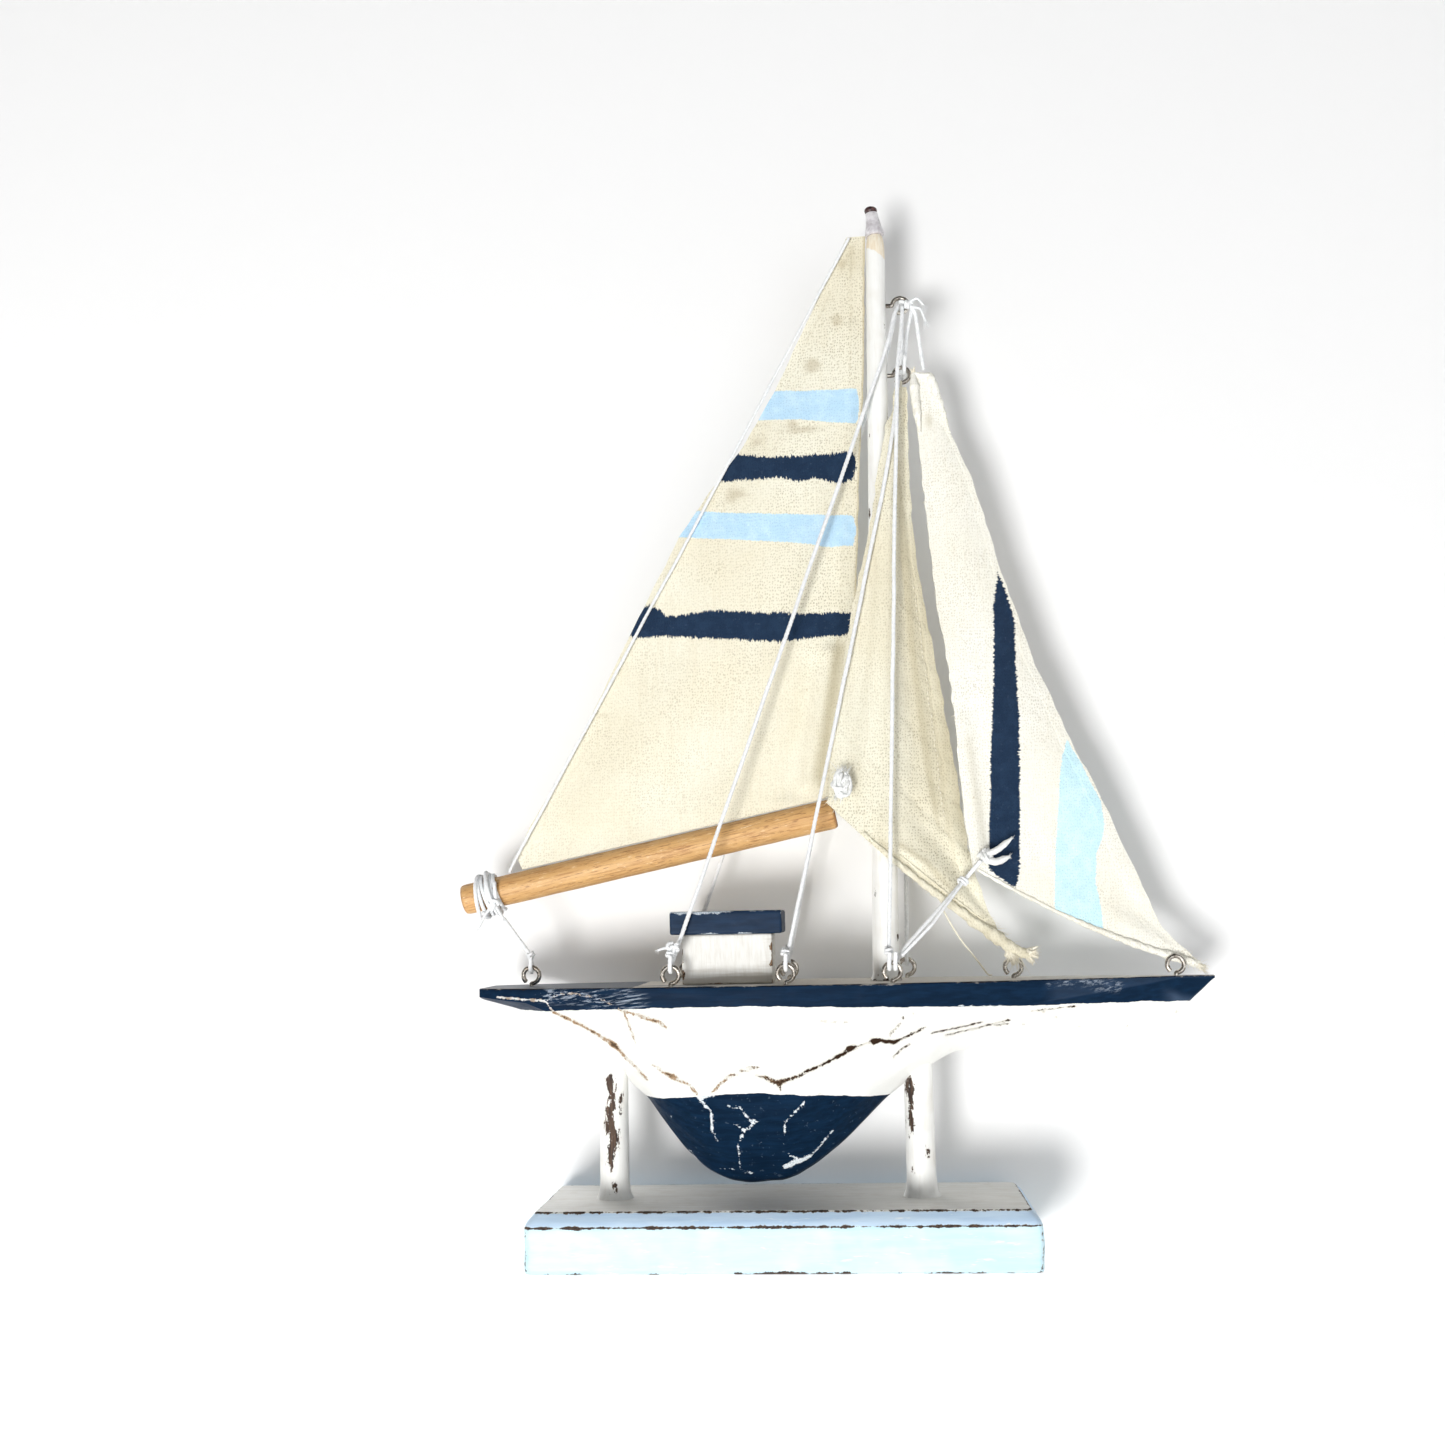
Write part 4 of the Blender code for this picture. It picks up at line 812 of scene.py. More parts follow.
def hull_visual():
    xs = np.linspace(-94.0, 136.4, 300)
    zb0, zc0 = pchip(PROFILE, xs), interp(KNUCKLE, xs)
    half, bot = pchip(PLAN, xs), interp(BOTTOM, xs)
    counts = (12, 3, 20, 15, 15, 14, 4)
    rings, part = [], []
    for x, zb, zc, b, wb in zip(xs, zb0, zc0, half, bot):
        zc = min(max(zc, zb + 0.25), DECK_Z - 0.9)
        yc = b * (1.0 - 0.10 * (DECK_Z - zc) / 27.0)
        wb = min(wb, 0.75 * yc)
        h = zc - zb
        rb = min(1.1, 0.2 * h)
        k = [(0.0, DECK_Z), (b - 0.45, DECK_Z), (b, DECK_Z - 0.4), (yc, zc)]
        for t, swell in ((0.36, 0.10), (0.70, 0.09)):
            k.append((yc + (wb - yc) * t + swell * (yc - wb) * min(1.0, h / 25.0), zc - (h - rb) * t))
        k += [(wb, zb + rb), (0.0, zb)]
        pts = []
        for (a, c), n in zip(zip(k, k[1:]), counts):
            for i in range(n):
                t = i / n
                pts.append((a[0] + (c[0] - a[0]) * t, a[1] + (c[1] - a[1]) * t))
        pts.append(k[-1])
        right = [(x, -y, z) for y, z in pts]
        left = [(x, y, z) for y, z in pts[1:-1]][::-1]
        rings.append(right + left)
    n = len(rings[0])
    v = np.array(rings, float).reshape(-1, 3)
    x, y, z = v.T
    star = y <= 0
    # the worn lines are raised creases where two carved facets meet
    sx = np.where(star, x, x + 2.5 * np.sin(x / 17.0) + 1.5)
    crease = near_lines(sx, z, [[(a, b, 0.0) for a, b, _ in ln] for ln in WORN[:12] if len(ln) > 1] +
                        [[(a, b, 0.0) for a, b, _ in ln] for ln in CHIPS[:7]])
    side = (z < DECK_Z - 0.5) & (x > -92) & (x < 134)
    bulge = np.where(side, 0.75 * np.clip(1 + crease / 6.0, 0, 1), 0.0)
    rough = np.where(side, 0.22 * fbm(v, 9.0, 5) + 0.10 * vnoise(v, 3.0, 9), 0.0)
    fade = np.clip((x + 94) / 10, 0, 1) * np.clip((136.4 - x) / 14, 0, 1)
    off = (bulge - 0.35 + rough) * fade * np.where(side, 1, 0)
    nrm = np.zeros_like(v)
    nrm[:, 1] = np.where(star, -1.0, 1.0)
    under = np.clip((interp(KNUCKLE, x) - z) / 4.0, 0, 1)
    nrm[:, 2] = -0.55 * under
    mid = np.abs(y) < 0.05
    nrm[mid] = (0, 0, -1)
    nrm /= np.linalg.norm(nrm, axis=1)[:, None]
    off[mid & (z > 80)] = 0
    v = v + nrm * off[:, None]
    v[:, 2] = np.where(z < DECK_Z - 0.5, np.minimum(v[:, 2], DECK_Z - 0.45), v[:, 2])
    zb = z - interp(BAND_LINE, x)
    zk = z - interp(KEEL_LINE, x)
    worn = near_lines(sx, z, [[(a, b, w * 0.80) for a, b, w in ln] for ln in WORN])
    worn = np.where(z > DECK_Z - 0.2, -5, worn)
    # chips and scratches; then painted light, a lighter navy, on the crease under the stern and on the bow's raked
    # facet
    chip = near_lines(sx, z, [[(a, b, w * 0.54) for a, b, w in ln] for ln in CHIPS])
    scr = near_lines(sx, z, SCRATCH)
    edge = 0.30 - np.hypot(np.maximum(0, DECK_Z - z), 0) * 1.0 + 0.45 * vnoise(v, 16.0, 21)
    facet_light_and_scuff = np.clip((x - 118) / 6, 0, 1) * np.clip((interp([(118, 84), (126, 80), (136, 78)], x) - z) / 3, 0, 1)
    facet_light_and_scuff = np.maximum(facet_light_and_scuff, np.clip((-70 - x) / 8, 0, 1) * np.clip((81.6 - z) / 1.5, 0, 1) * 0.28)
    # a pale scuff patch near the bow, and painted light on the facet above the bow's chine
    patch = np.clip(1 - np.hypot((x - 102) / 5, (z - 82.6) / 2.2), 0, 1)
    facet_light_and_scuff = np.maximum(facet_light_and_scuff * 0.55, patch * 0.6)
    facet = interp([(78, 76.6), (82.1, 77.5), (99.5, 79.7), (113.5, 81.8), (124, 83.6)], x)
    facet_light_and_scuff = np.maximum(facet_light_and_scuff, 0.30 * np.clip((z - facet) / 0.5, 0, 1) * np.clip((x - 80) / 6, 0, 1))
    # deck zones: painted shadow of the boom and mainsail aft of the cabin, with a curved painted shadow beside it;
    # navy paint at the bow's tip
    aft_shadow_and_bow_navy = np.maximum(-44.0 - x, x - 127.0)
    aft_shadow_and_bow_navy = np.maximum(aft_shadow_and_bow_navy, 1.5 - np.abs(np.hypot((x + 42) / 1.4, y + 30) - 17) / 1.2)
    dedge = 0.9 - (pchip(PLAN, x) - np.abs(y)) + 0.6 * vnoise(v, 14.0, 31)
    faces = grid_faces(len(rings), n, True)
    col = np.tile(np.arange(n), len(rings) - 1)
    deckface = (col < counts[0]) | (col >= n - counts[0])
    slots = np.where(deckface, 1, 0).tolist() + [0, 0]
    faces = faces.tolist() + [tuple(reversed(range(n))), tuple(range((len(rings) - 1) * n, len(rings) * n))]
    isdeck = z > DECK_Z - 0.01
    edge_at = np.where(isdeck, dedge, edge)
    return make("hull_skin", v, faces, [HULL, DECK], True,
                {"zb": zb, "zk": zk, "worn": worn, "chip": chip, "scr": scr,
                 "edge": edge_at, "facet_light_and_scuff": facet_light_and_scuff, "aft_shadow_and_bow_navy": aft_shadow_and_bow_navy}, slots, 28)


hull = hull_visual()
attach(hull, "hull")
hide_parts("hull_band", "hull_body", "hull_keel")


# =====================================================================
# rounded blocks: stand, cabin, roof
# =====================================================================
def box_grid(nx, ny, nz):
    """Surface of a cube as a welded grid, coordinates from -1 to 1."""
    index, verts, faces = {}, [], []

    def vid(i, j, k):
        key = (i, j, k)
        if key not in index:
            index[key] = len(verts)
            verts.append((2 * i / nx - 1, 2 * j / ny - 1, 2 * k / nz - 1))
        return index[key]
    for i in range(nx):
        for j in range(ny):
            faces.append((vid(i, j, nz), vid(i + 1, j, nz), vid(i + 1, j + 1, nz), vid(i, j + 1, nz)))
            faces.append((vid(i, j, 0), vid(i, j + 1, 0), vid(i + 1, j + 1, 0), vid(i + 1, j, 0)))
    for i in range(nx):
        for k in range(nz):
            faces.append((vid(i, 0, k), vid(i + 1, 0, k), vid(i + 1, 0, k + 1), vid(i, 0, k + 1)))
            faces.append((vid(i, ny, k), vid(i, ny, k + 1), vid(i + 1, ny, k + 1), vid(i + 1, ny, k)))
    for j in range(ny):
        for k in range(nz):
            faces.append((vid(0, j, k), vid(0, j, k + 1), vid(0, j + 1, k + 1), vid(0, j + 1, k)))
            faces.append((vid(nx, j, k), vid(nx, j + 1, k), vid(nx, j + 1, k + 1), vid(nx, j, k + 1)))
    return np.array(verts, float), faces


def squeeze(t, n, edge):
    """Moves a grid coordinate so that its first and last steps are short."""
    s = np.sign(t)
    a = np.abs(t)
    last = 1 - 2.0 / n
    return s * np.where(a > last, 1 - (1 - a) / (1 - last) * edge, a / last * (1 - edge))


def round_corners(x, y, hx, hy, r):
    ix, iy = hx - r, hy - r
    cx, cy = np.abs(x) - ix, np.abs(y) - iy
    m = (cx > 0) & (cy > 0)
    d = np.hypot(cx, cy)
    big = np.maximum(cx, cy)
    k = np.where(m, big / np.maximum(d, 1e-9), 1)
    nx = np.where(m, np.sign(x) * (ix + cx * k), x)
    ny = np.where(m, np.sign(y) * (iy + cy * k), y)
    return nx, ny


def stand_visual():
    u, faces = box_grid(190, 60, 26)
    H = 18.0
    t = (u[:, 2] + 1) / 2
    prof_t = [0, 0.04, 0.10, 0.62, 0.72, 0.80, 0.93, 1.0]
    prof_z = [0, 0.25, 1.0, 12.9, 14.0, 15.3, 17.6, H]
    prof_i = [1.0, 0.35, 0.05, 0.0, 0.15, 0.75, 2.85, 3.35]
    z = np.interp(t, prof_t, prof_z)
    inset = np.interp(t, prof_t, prof_i)
    hx, hy = 77.5 - inset, 27.5 - inset
    x, y = u[:, 0] * hx, u[:, 1] * hy
    x, y = round_corners(x, y, hx, hy, 2.2)
    v = np.stack([x, y, z], 1)
    sidew = (np.abs(u[:, 0]) > 0.999) | (np.abs(u[:, 1]) > 0.999)
    d = 0.16 * fbm(v, 12.0, 2) + 0.10 * vnoise(v, 4.0, 4)
    out = np.stack([x / 77.5 * (np.abs(u[:, 0]) > 0.999), y / 27.5 * (np.abs(u[:, 1]) > 0.999), np.zeros(len(x))], 1)
    v = v + out * np.where(sidew, d, 0)[:, None] * np.clip(z, 0, 1)[:, None]
    tx = (u[:, 2] > 0.999) & ~sidew
    v[:, 2] += np.where(tx, 0.06 * fbm(v, 14.0, 6), 0)
    # the fore lower end is a little swollen
    v[:, 0] += np.clip((x - 74) / 3.5, 0, 1) * 0.35 * np.exp(-((z - 9) / 4.5) ** 2)
    v[:, 0] = np.clip(v[:, 0], -77.6, 77.85)
    # wear: the two edges of the chamfer, the lower edge, the upright corners
    along = x * (np.abs(y) > 20) + y * 2.3 * (np.abs(y) <= 20)
    n_a = vnoise(np.stack([along, y * 0 + 3, z * 0], 1), 9.0, 40)
    n_b = vnoise(np.stack([along, y * 0 + 9, z * 0], 1), 3.2, 41)
    top_edge = 0.32 + 0.18 * n_a + 0.18 * n_b - np.abs(z - 17.75) * 1.35 - np.where(tx, 4, 0) * (inset < 3)
    topd = np.minimum(74.2 - np.abs(x), 24.2 - np.abs(y))
    top_edge = np.where(tx, 0.32 + 0.2 * n_a + 0.2 * n_b - topd * 1.2, top_edge)
    low_edge = 0.46 + 0.25 * n_a + 0.30 * n_b - np.abs(z - 13.7) * 1.4
    bot_edge = -0.10 + 0.45 * n_a + 0.35 * n_b - np.abs(z - 0.25) * 0.9
    bot_edge = bot_edge + np.where((x > 42) | (np.abs(x - 8) < 22), 0.35, -0.1)
    corner = 0.25 + 0.6 * vnoise(v, 5.0, 44) - np.minimum(3, np.hypot(77.5 - np.abs(x), 27.5 - np.abs(y)) - 0.8)
    worn = np.maximum.reduce([np.where(tx, -3, low_edge), top_edge, np.where(tx, -3, bot_edge), np.where(z < 17, corner, -3)])
    top = np.where(tx | (z > 17.7), 1.0, z - 17.75)
    cham = np.clip(z - 13.75, -2, 2)
    return make("stand_base_skin", v, faces, BASE, True, {"worn": worn, "top": top, "cham": cham}, None, 24)


stand = stand_visual()
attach(stand, "hull")
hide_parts("stand_base")


def block_visual(name, x0, x1, hw, z0, z1, r, mat, wear, shade, lean=0.0):
    nx, ny, nz = int((x1 - x0) / 0.45), int(2 * hw / 0.5), max(8, int((z1 - z0) / 0.45))
    u, faces = box_grid(nx, ny, nz)
    cx, hx = (x0 + x1) / 2, (x1 - x0) / 2
    hz, cz = (z1 - z0) / 2, (z0 + z1) / 2
    p = np.stack([squeeze(u[:, 0], nx, 0.012) * hx, squeeze(u[:, 1], ny, 0.015) * hw, squeeze(u[:, 2], nz, 0.04) * hz], 1)
    h = np.array([hx, hw, hz])
    inner = h - r
    c = np.clip(p, -inner, inner)
    d = p - c
    ln = np.linalg.norm(d, axis=1)
    mx = np.abs(d).max(1)
    q = np.where(ln[:, None] > 1e-9, c + d * (mx / np.maximum(ln, 1e-9))[:, None], p)
    q += np.array([cx, 0, cz])
    n = q - np.array([cx, 0, cz])
    e = np.where(np.abs(p) > h - 1e-6, np.sign(p), 0)
    q = q + e * (0.10 * fbm(q, 6.0, 8) + 0.05 * vnoise(q, 2.0, 12))[:, None] * np.array([1, 1, 0.4])
    dist = np.sort(h - np.abs(p), axis=1)
    edge = dist[:, 0] + dist[:, 1]
    worn = wear(q, edge)
    return make(name, q, faces, mat, True, {"worn": worn, "shade": shade(q, edge)}, None, 30)


def cabin_wear(q, edge):
    w = -0.35 - edge + 0.8 * vnoise(q, 5.0, 51)
    corner = 0.55 - np.hypot(q[:, 0] + 1.2, (np.abs(q[:, 1]) - 11) * 0.8) + 0.95 * vnoise(q, 2.6, 52) + 0.35 * vnoise(q, 1.1, 54)
    left = 0.20 - np.hypot(q[:, 0] + 29.5, (np.abs(q[:, 1]) - 11) * 0.8) + 0.9 * vnoise(q, 2.2, 55) - 0.08 * (q[:, 2] - 88)
    return np.maximum(w, np.where(q[:, 1] < 0, np.maximum(corner, left), -3.0))


def cabin_shade(q, edge):
    # darker low down (brown smears), towards the fore end, and in a strip just under the roof (painted shade)
    s = np.maximum((90.5 - q[:, 2]) / 3.0, (q[:, 0] + 8.0) / 6.0 - 0.6)
    return np.maximum(s, 0.7 - np.abs(q[:, 2] - 99.8)) - 0.4


cabin = block_visual("cabin_block_skin", -29.7, -1.2, 11.0, 84.7, 100.2, 0.55, CABIN, cabin_wear, cabin_shade)
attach(cabin, "hull"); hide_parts("cabin_block")


def roof_wear(q, edge):
    top = (q[:, 2] > 106.0)
    return -edge * 1.0 - 0.25 + 0.95 * vnoise(q, 5.0, 53) + np.where(top & (q[:, 1] < -13), 0.45, 0)


roof = block_visual("cabin_roof_skin", -33.1, 2.1, 14.6, 100.25, 107.5, 0.7, ROOF, roof_wear, lambda q, e: np.full(len(q), -3.0))
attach(roof, "hull"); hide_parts("cabin_roof")


# =====================================================================
# dowels, mast, masthead
# =====================================================================
def post_visual(name, node, x, top, patches):
    zs = np.r_[np.linspace(17.6, 26, 16), np.linspace(26.8, top, 44)]

    def rad(z):
        return np.interp(z, [17.6, 18.3, 19.4, 21.2, 24.0, 90], [6.0, 5.75, 5.25, 4.85, 4.6, 4.6])

    def worn(v):
        f = np.full(len(v), -4.0)
        front = v[:, 1] < 1.0
        for poly in patches:
            f = np.maximum(f, np.where(front, in_polygon(v[:, 0] - x, v[:, 2], poly), -4.0))
        return np.maximum(f * 0.8, 0.9 * vnoise(v, 5.0, 60) - 2.2)
    ob = lathe(name, [((x, 0, z), float(rad(z))) for z in zs], POST, 48, 0.12, 4,
               attrs={"worn": worn, "bare": lambda v: np.full(len(v), -5.0)})
    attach(ob, "hull"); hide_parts(node)
    return ob


post_visual("post_aft_skin", "stand_post_aft", -53.3, 67.0,
            [[(-2.4, 56), (0.2, 57), (1.4, 50), (0.6, 44), (1.8, 38), (1.0, 31), (-0.4, 27), (-1.8, 30), (-1.2, 37), (-2.9, 42), (-1.4, 48)],
             [(-0.9, 23.4), (0.8, 23.0), (0.9, 20.2), (-0.4, 19.9)],
             [(2.2, 52), (3.2, 50), (2.7, 44), (2.1, 46)]])
post_visual("post_fore_skin", "stand_post_fore", 43.4, 63.0,
            [[(-4.1, 55), (-2.0, 55), (-1.6, 49), (-2.4, 45), (-1.7, 40), (-2.9, 36.5), (-3.9, 40), (-3.3, 46), (-4.3, 50)],
             [(1.6, 33), (2.2, 31.6), (1.8, 30)], [(-2.6, 27), (-2.0, 25.4), (-2.7, 24.6)]])


def mast_x(z):
    return 34.4 + 4.0 * (z - DECK_Z) / (332.0 - DECK_Z)


def mast_r(z):
    return 4.3 - 1.2 * (z - DECK_Z) / (332.0 - DECK_Z)


def mast_visual():
    zs = np.r_[84.7, 85.4, np.linspace(86.5, 327.0, 170), 328.6, 330.0, 331.1, 331.8, 332.2]
    rr = [float(mast_r(z)) for z in zs]
    rr[0], rr[1] = 5.0, 4.7
    for k, f in zip(range(-5, 0), (0.97, 0.91, 0.80, 0.62, 0.40)):
        rr[k] = rr[k] * f

    def worn(v):
        x = v[:, 0] - mast_x(v[:, 2])
        z = v[:, 2]
        f = np.full(len(v), -4.0)
        for cx, cz, a, b in ((-3.6, 236.0, 0.9, 1.6), (2.6, 300.0, 0.5, 1.0), (3.3, 128.0, 0.6, 1.3),
                             (-3.0, 181.0, 0.5, 1.7), (2.9, 203.0, 0.45, 1.2), (-3.4, 112.0, 0.55, 1.4),
                             (3.6, 98.0, 0.6, 1.5), (3.1, 268.0, 0.4, 1.2), (-2.8, 262.0, 0.35, 0.9)):
            f = np.maximum(f, (1 - np.hypot((x - cx) / a, (z - cz) / b)) * 0.9)
        foot = 0.5 - (z - 84.9) * 0.7 + 0.7 * vnoise(v, 2.5, 71)
        f = np.maximum(f, np.where(v[:, 1] < 1, foot, -4))
        return np.maximum(f - 0.35, 0.9 * vnoise(v * np.array([1, 1, 0.5]), 2.4, 70) - 1.9)
    ob = lathe("mast_skin", [((mast_x(z), 0, z), r) for z, r in zip(zs, rr)], MAST, 48, 0.10, 7,
               attrs={"worn": worn,
                      "bare": lambda v: v[:, 2] - 325.0 + 1.2 * (v[:, 0] - 38.2) * 0.6})
    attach(ob, "hull"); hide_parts("mast")


mast_visual()

GLUE = Mat("masthead_glue", 0.34, spec=0.5)
_n = GLUE.noise(420, 4, 0.6)
GLUE.colour(GLUE.mix(GLUE.step(_n, 0.35, 0.7), (0.73, 0.715, 0.73), (0.47, 0.44, 0.46)))
GLUE.normal(GLUE.bump(_n, 0.6, 0.0002))
GLUE.b.inputs["Subsurface Weight"].default_value = 0.25
GLUE.b.inputs["Subsurface Radius"].default_value = (0.002, 0.002, 0.002)
GLUE.b.inputs["Subsurface Scale"].default_value = 0.4
CAPM = Mat("masthead_cap_paint", 0.35, spec=0.5)
_n = CAPM.noise(900, 3, 0.6)
CAPM.colour(CAPM.mix(CAPM.step(_n, 0.4, 0.7), (0.030, 0.012, 0.014), (0.10, 0.045, 0.04)))
CAPM.normal(CAPM.bump(_n, 0.4, 0.0001))
ob = lathe("masthead_peg_skin", [((38.3 - 0.12 * (z - 332.0), 0, z), r) for z, r in
                                 ((331.5, 3.2), (332.1, 3.35), (333.0, 3.1), (334.4, 2.75), (336.0, 2.45), (337.6, 2.25), (339.0, 2.1), (339.6, 1.9))],
           GLUE, 32, 0.22, 15)
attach(ob, "hull"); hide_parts("masthead_peg")
ob = lathe("masthead_cap_skin", [((37.2, 0, z), r) for z, r in
                                 ((339.5, 1.6), (339.9, 2.0), (340.5, 2.15), (341.0, 2.05), (341.4, 1.7), (341.7, 1.1), (341.8, 0.4))],
           CAPM, 24, 0.10, 16)
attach(ob, "hull"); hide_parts("masthead_cap")


# =====================================================================
# boom
# =====================================================================
BOOM_R, BOOM_SLOPE = 4.85, 0.2085


def boom_z(x):
    return 134.0 + BOOM_SLOPE * x


AX = np.array([1.0, 0, BOOM_SLOPE]) / math.hypot(1, BOOM_SLOPE)
UPV = np.array([-AX[2], 0, AX[0]])
SIDE = np.array([0, 1.0, 0])


def boom_visual():
    xs = np.r_[-101.9, -101.75, -101.4, -100.8, np.linspace(-99.8, 17.4, 130), 18.4, 19.0, 19.4, 19.6]
    rr = np.full(len(xs), BOOM_R)
    rr[:4] = (3.9, 4.35, 4.65, 4.8)
    rr[-4:] = (4.8, 4.65, 4.35, 3.9)

    def end(v):
        s = (v - np.array([0, 0, 134.0])) @ AX
        s0, s1 = -101.9 / AX[0], 19.6 / AX[0]
        return np.clip(1.0 - (s - s0) / 1.1, 0, 1) * 0.55 + np.clip(1.0 - (s1 - s) / 1.3, 0, 1)
    ob = lathe("boom_skin", [((x, 0, boom_z(x)), float(r)) for x, r in zip(xs, rr)], BOOM, 48, 0.07, 19,
               attrs={"end": end})
    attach(ob, "main_rig"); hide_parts("boom")


boom_visual()


# =====================================================================
# eye screws
# =====================================================================
EYE_R, EYE_WIRE, EYE_NECK, MAST_EYE_NECK = 2.6, 0.75, 0.9, 2.1
DECK_EYES = [("eye_stern", -79.8, 0.0), ("eye_aft_starboard", -32.4, -20.0), ("eye_aft_port", -30.8, 20.0),
             ("eye_mid_starboard", 3.2, -20.0), ("eye_mid_port", 2.8, 20.0),
             ("eye_fore_starboard", 35.8, -20.0), ("eye_fore_port", 41.6, 19.2),
             ("eye_staysail_tack", 74.4, 0.0), ("eye_bow", 124.6, -1.2)]
EYES = {n: (x, y) for n, x, y in DECK_EYES}
EYE_Z = DECK_Z + EYE_NECK + EYE_R


def wire(name, node, pts):
    p = soften(resample(pts, 0.22), 3)
    v, f = tube(p, EYE_WIRE * 0.985, 14)
    ob = make(name, v, f, NICKEL, True, None, None, 50)
    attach(ob, "hull"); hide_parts(node)


def thread_ring(c, r, axis):
    """A small raised ring where the wire's thread starts."""
    th = np.linspace(0, 2 * np.pi, 25)[:-1]
    if axis == "z":
        p = np.stack([c[0] + r * np.cos(th), c[1] + r * np.sin(th), np.full(24, c[2])], 1)
    else:
        p = np.stack([np.full(24, c[0]), c[1] + r * np.cos(th), c[2] + r * np.sin(th)], 1)
    return p


for n, x, y in DECK_EYES:
    zc = EYE_Z
    stop = 2 * math.pi - (2 * EYE_WIRE + 0.35) / EYE_R
    pts = [(x, y, DECK_Z - 3.0), (x, y, DECK_Z), (x, y, zc - EYE_R)]
    pts += [(x + EYE_R * math.sin(stop * k / 48), y, zc - EYE_R * math.cos(stop * k / 48)) for k in range(1, 49)]
    wire(n + "_wire", n, pts)
EYE_X = {}
for n, z in (("eye_mast_upper", 307.0), ("eye_mast_lower", 283.0)):
    x0 = mast_x(z) + mast_r(z)
    xc = x0 + MAST_EYE_NECK + EYE_R
    EYE_X[n] = xc
    stop = 2 * math.pi - (2 * EYE_WIRE + 0.35) / EYE_R
    pts = [(x0 - 3.0, 0, z), (x0 + 0.2, 0, z), (xc - EYE_R, 0, z)]
    pts += [(xc - EYE_R * math.cos(stop * k / 48), 0, z + EYE_R * math.sin(stop * k / 48)) for k in range(1, 49)]
    wire(n + "_wire", n, pts)


# =====================================================================
# sails
# =====================================================================
def along(poly, t):
    p = np.array(poly, float)
    s = np.r_[0, np.cumsum(np.linalg.norm(np.diff(p, axis=0), axis=1))]
    t = np.asarray(t) * s[-1]
    return np.stack([np.interp(t, s, p[:, k]) for k in range(3)], -1)


def round_edge(poly, amount=5.0, n=400):
    """The same edge with its corners eased."""
    p = along(poly, np.linspace(0, 1, n))
    w = int(amount)
    q = p.copy()
    for _ in range(w):
        q[1:-1] = 0.25 * q[:-2] + 0.5 * q[1:-1] + 0.25 * q[2:]
    return q


def sail_visual(name, node, body, aft, fore, depth, roach, rows, cols, mat, attrs,
                thick=0.45, ragged=0.35, widen=0.0, hem=None, seed=0):
    v = np.linspace(0, 1, rows + 1)
    u = np.linspace(0, 1, cols + 1)
    A, B = along(round_edge(aft), v), along(round_edge(fore), v)
    # cut edges aren't straight
    na = vnoise(np.stack([A[:, 2], A[:, 2] * 0 + seed, A[:, 2] * 0], 1), 3.4, 80) * ragged
    nb = vnoise(np.stack([B[:, 2], B[:, 2] * 0 + seed + 5, B[:, 2] * 0], 1), 3.4, 81) * ragged
    A[:, 0] += na
    B[:, 0] += nb + np.interp(B[:, 2], [120, 240, 300, 332], [0.3, 0.6, 1.0, 0.75]) * widen
    P = A[:, None, :] + (B - A)[:, None, :] * u[None, :, None]
    U, V = np.meshgrid(u, v)
    P[..., 1] += depth(U, V, P)
    P[..., 2] -= roach * np.sin(np.pi * U) * (1 - V) ** 3
    du = np.gradient(P, axis=1)
    dv = np.gradient(P, axis=0)
    nrm = np.cross(du, dv)
    nrm /= np.maximum(np.linalg.norm(nrm, axis=2), 1e-9)[..., None]
    t = np.full(U.shape, thick / 2)
    if hem is not None:
        t = t + hem(U, V, P)
    front = (P + nrm * t[..., None]).reshape(-1, 3)
    back = (P - nrm * (thick / 2)).reshape(-1, 3)
    w = cols + 1
    f = grid_faces(rows + 1, w)
    g = f[:, ::-1] + len(front)
    rim = [j for j in range(w)] + [i * w + cols for i in range(1, rows + 1)] \
        + [rows * w + j for j in range(cols - 1, -1, -1)] + [i * w for i in range(rows - 1, 0, -1)]
    n = len(front)
    side = [(b, a, n + a, n + b) for a, b in zip(rim, rim[1:] + rim[:1])]
    verts = np.vstack([front, back])
    X, Z = verts[:, 0], verts[:, 2]
    UU, VV = np.tile(U.ravel(), 2), np.tile(V.ravel(), 2)
    at = attrs(X, Z, UU, VV)
    ob = make(name, verts, f.tolist() + g.tolist() + side, mat, True, at, None, 60)
    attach(ob, body)
    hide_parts(node)
    return ob, P, nrm


def hump(U, V):
    return np.sin(np.pi * U) * np.sin(np.pi * np.minimum(1.0, 0.12 + 0.88 * V))


def ridge(P, a, b, width):
    """1 on the line from a to b in the sail's plane, falling to 0."""
    x, z = P[..., 0].ravel(), P[..., 2].ravel()
    d = -near_lines(x, z, [[(a[0], a[1], 0.0), (b[0], b[1], 0.0)]])
    return np.exp(-(d / width) ** 2).reshape(P.shape[:2])


FOOT_LIFT = BOOM_R / math.cos(math.atan(BOOM_SLOPE)) + 0.5
MAIN_AFT = [(-82.6, 0.0, boom_z(-82.6) + FOOT_LIFT), (-84.6, 0.0, 127.0),
            (-80.0, 0.0, 136.0), (-65.6, 0.0, 159.3), (-45.5, 0.0, 199.9),
            (-28.8, 0.0, 231.6), (-15.8, 0.0, 250.1), (-7.6, 0.0, 260.3),
            (3.5, 0.0, 279.1), (18.0, 0.0, 309.2), (26.9, 0.0, 327.0), (29.0, 0.0, 331.6)]
MAIN_FORE = [(13.9, 0.0, boom_z(13.9) + FOOT_LIFT), (19.4, 0.0, 144.6),
             (27.5, 0.0, 201.1), (29.9, 0.0, 247.9), (31.7, 0.0, 275.1),
             (33.2, 0.0, 309.5), (34.2, 0.0, 331.6)]


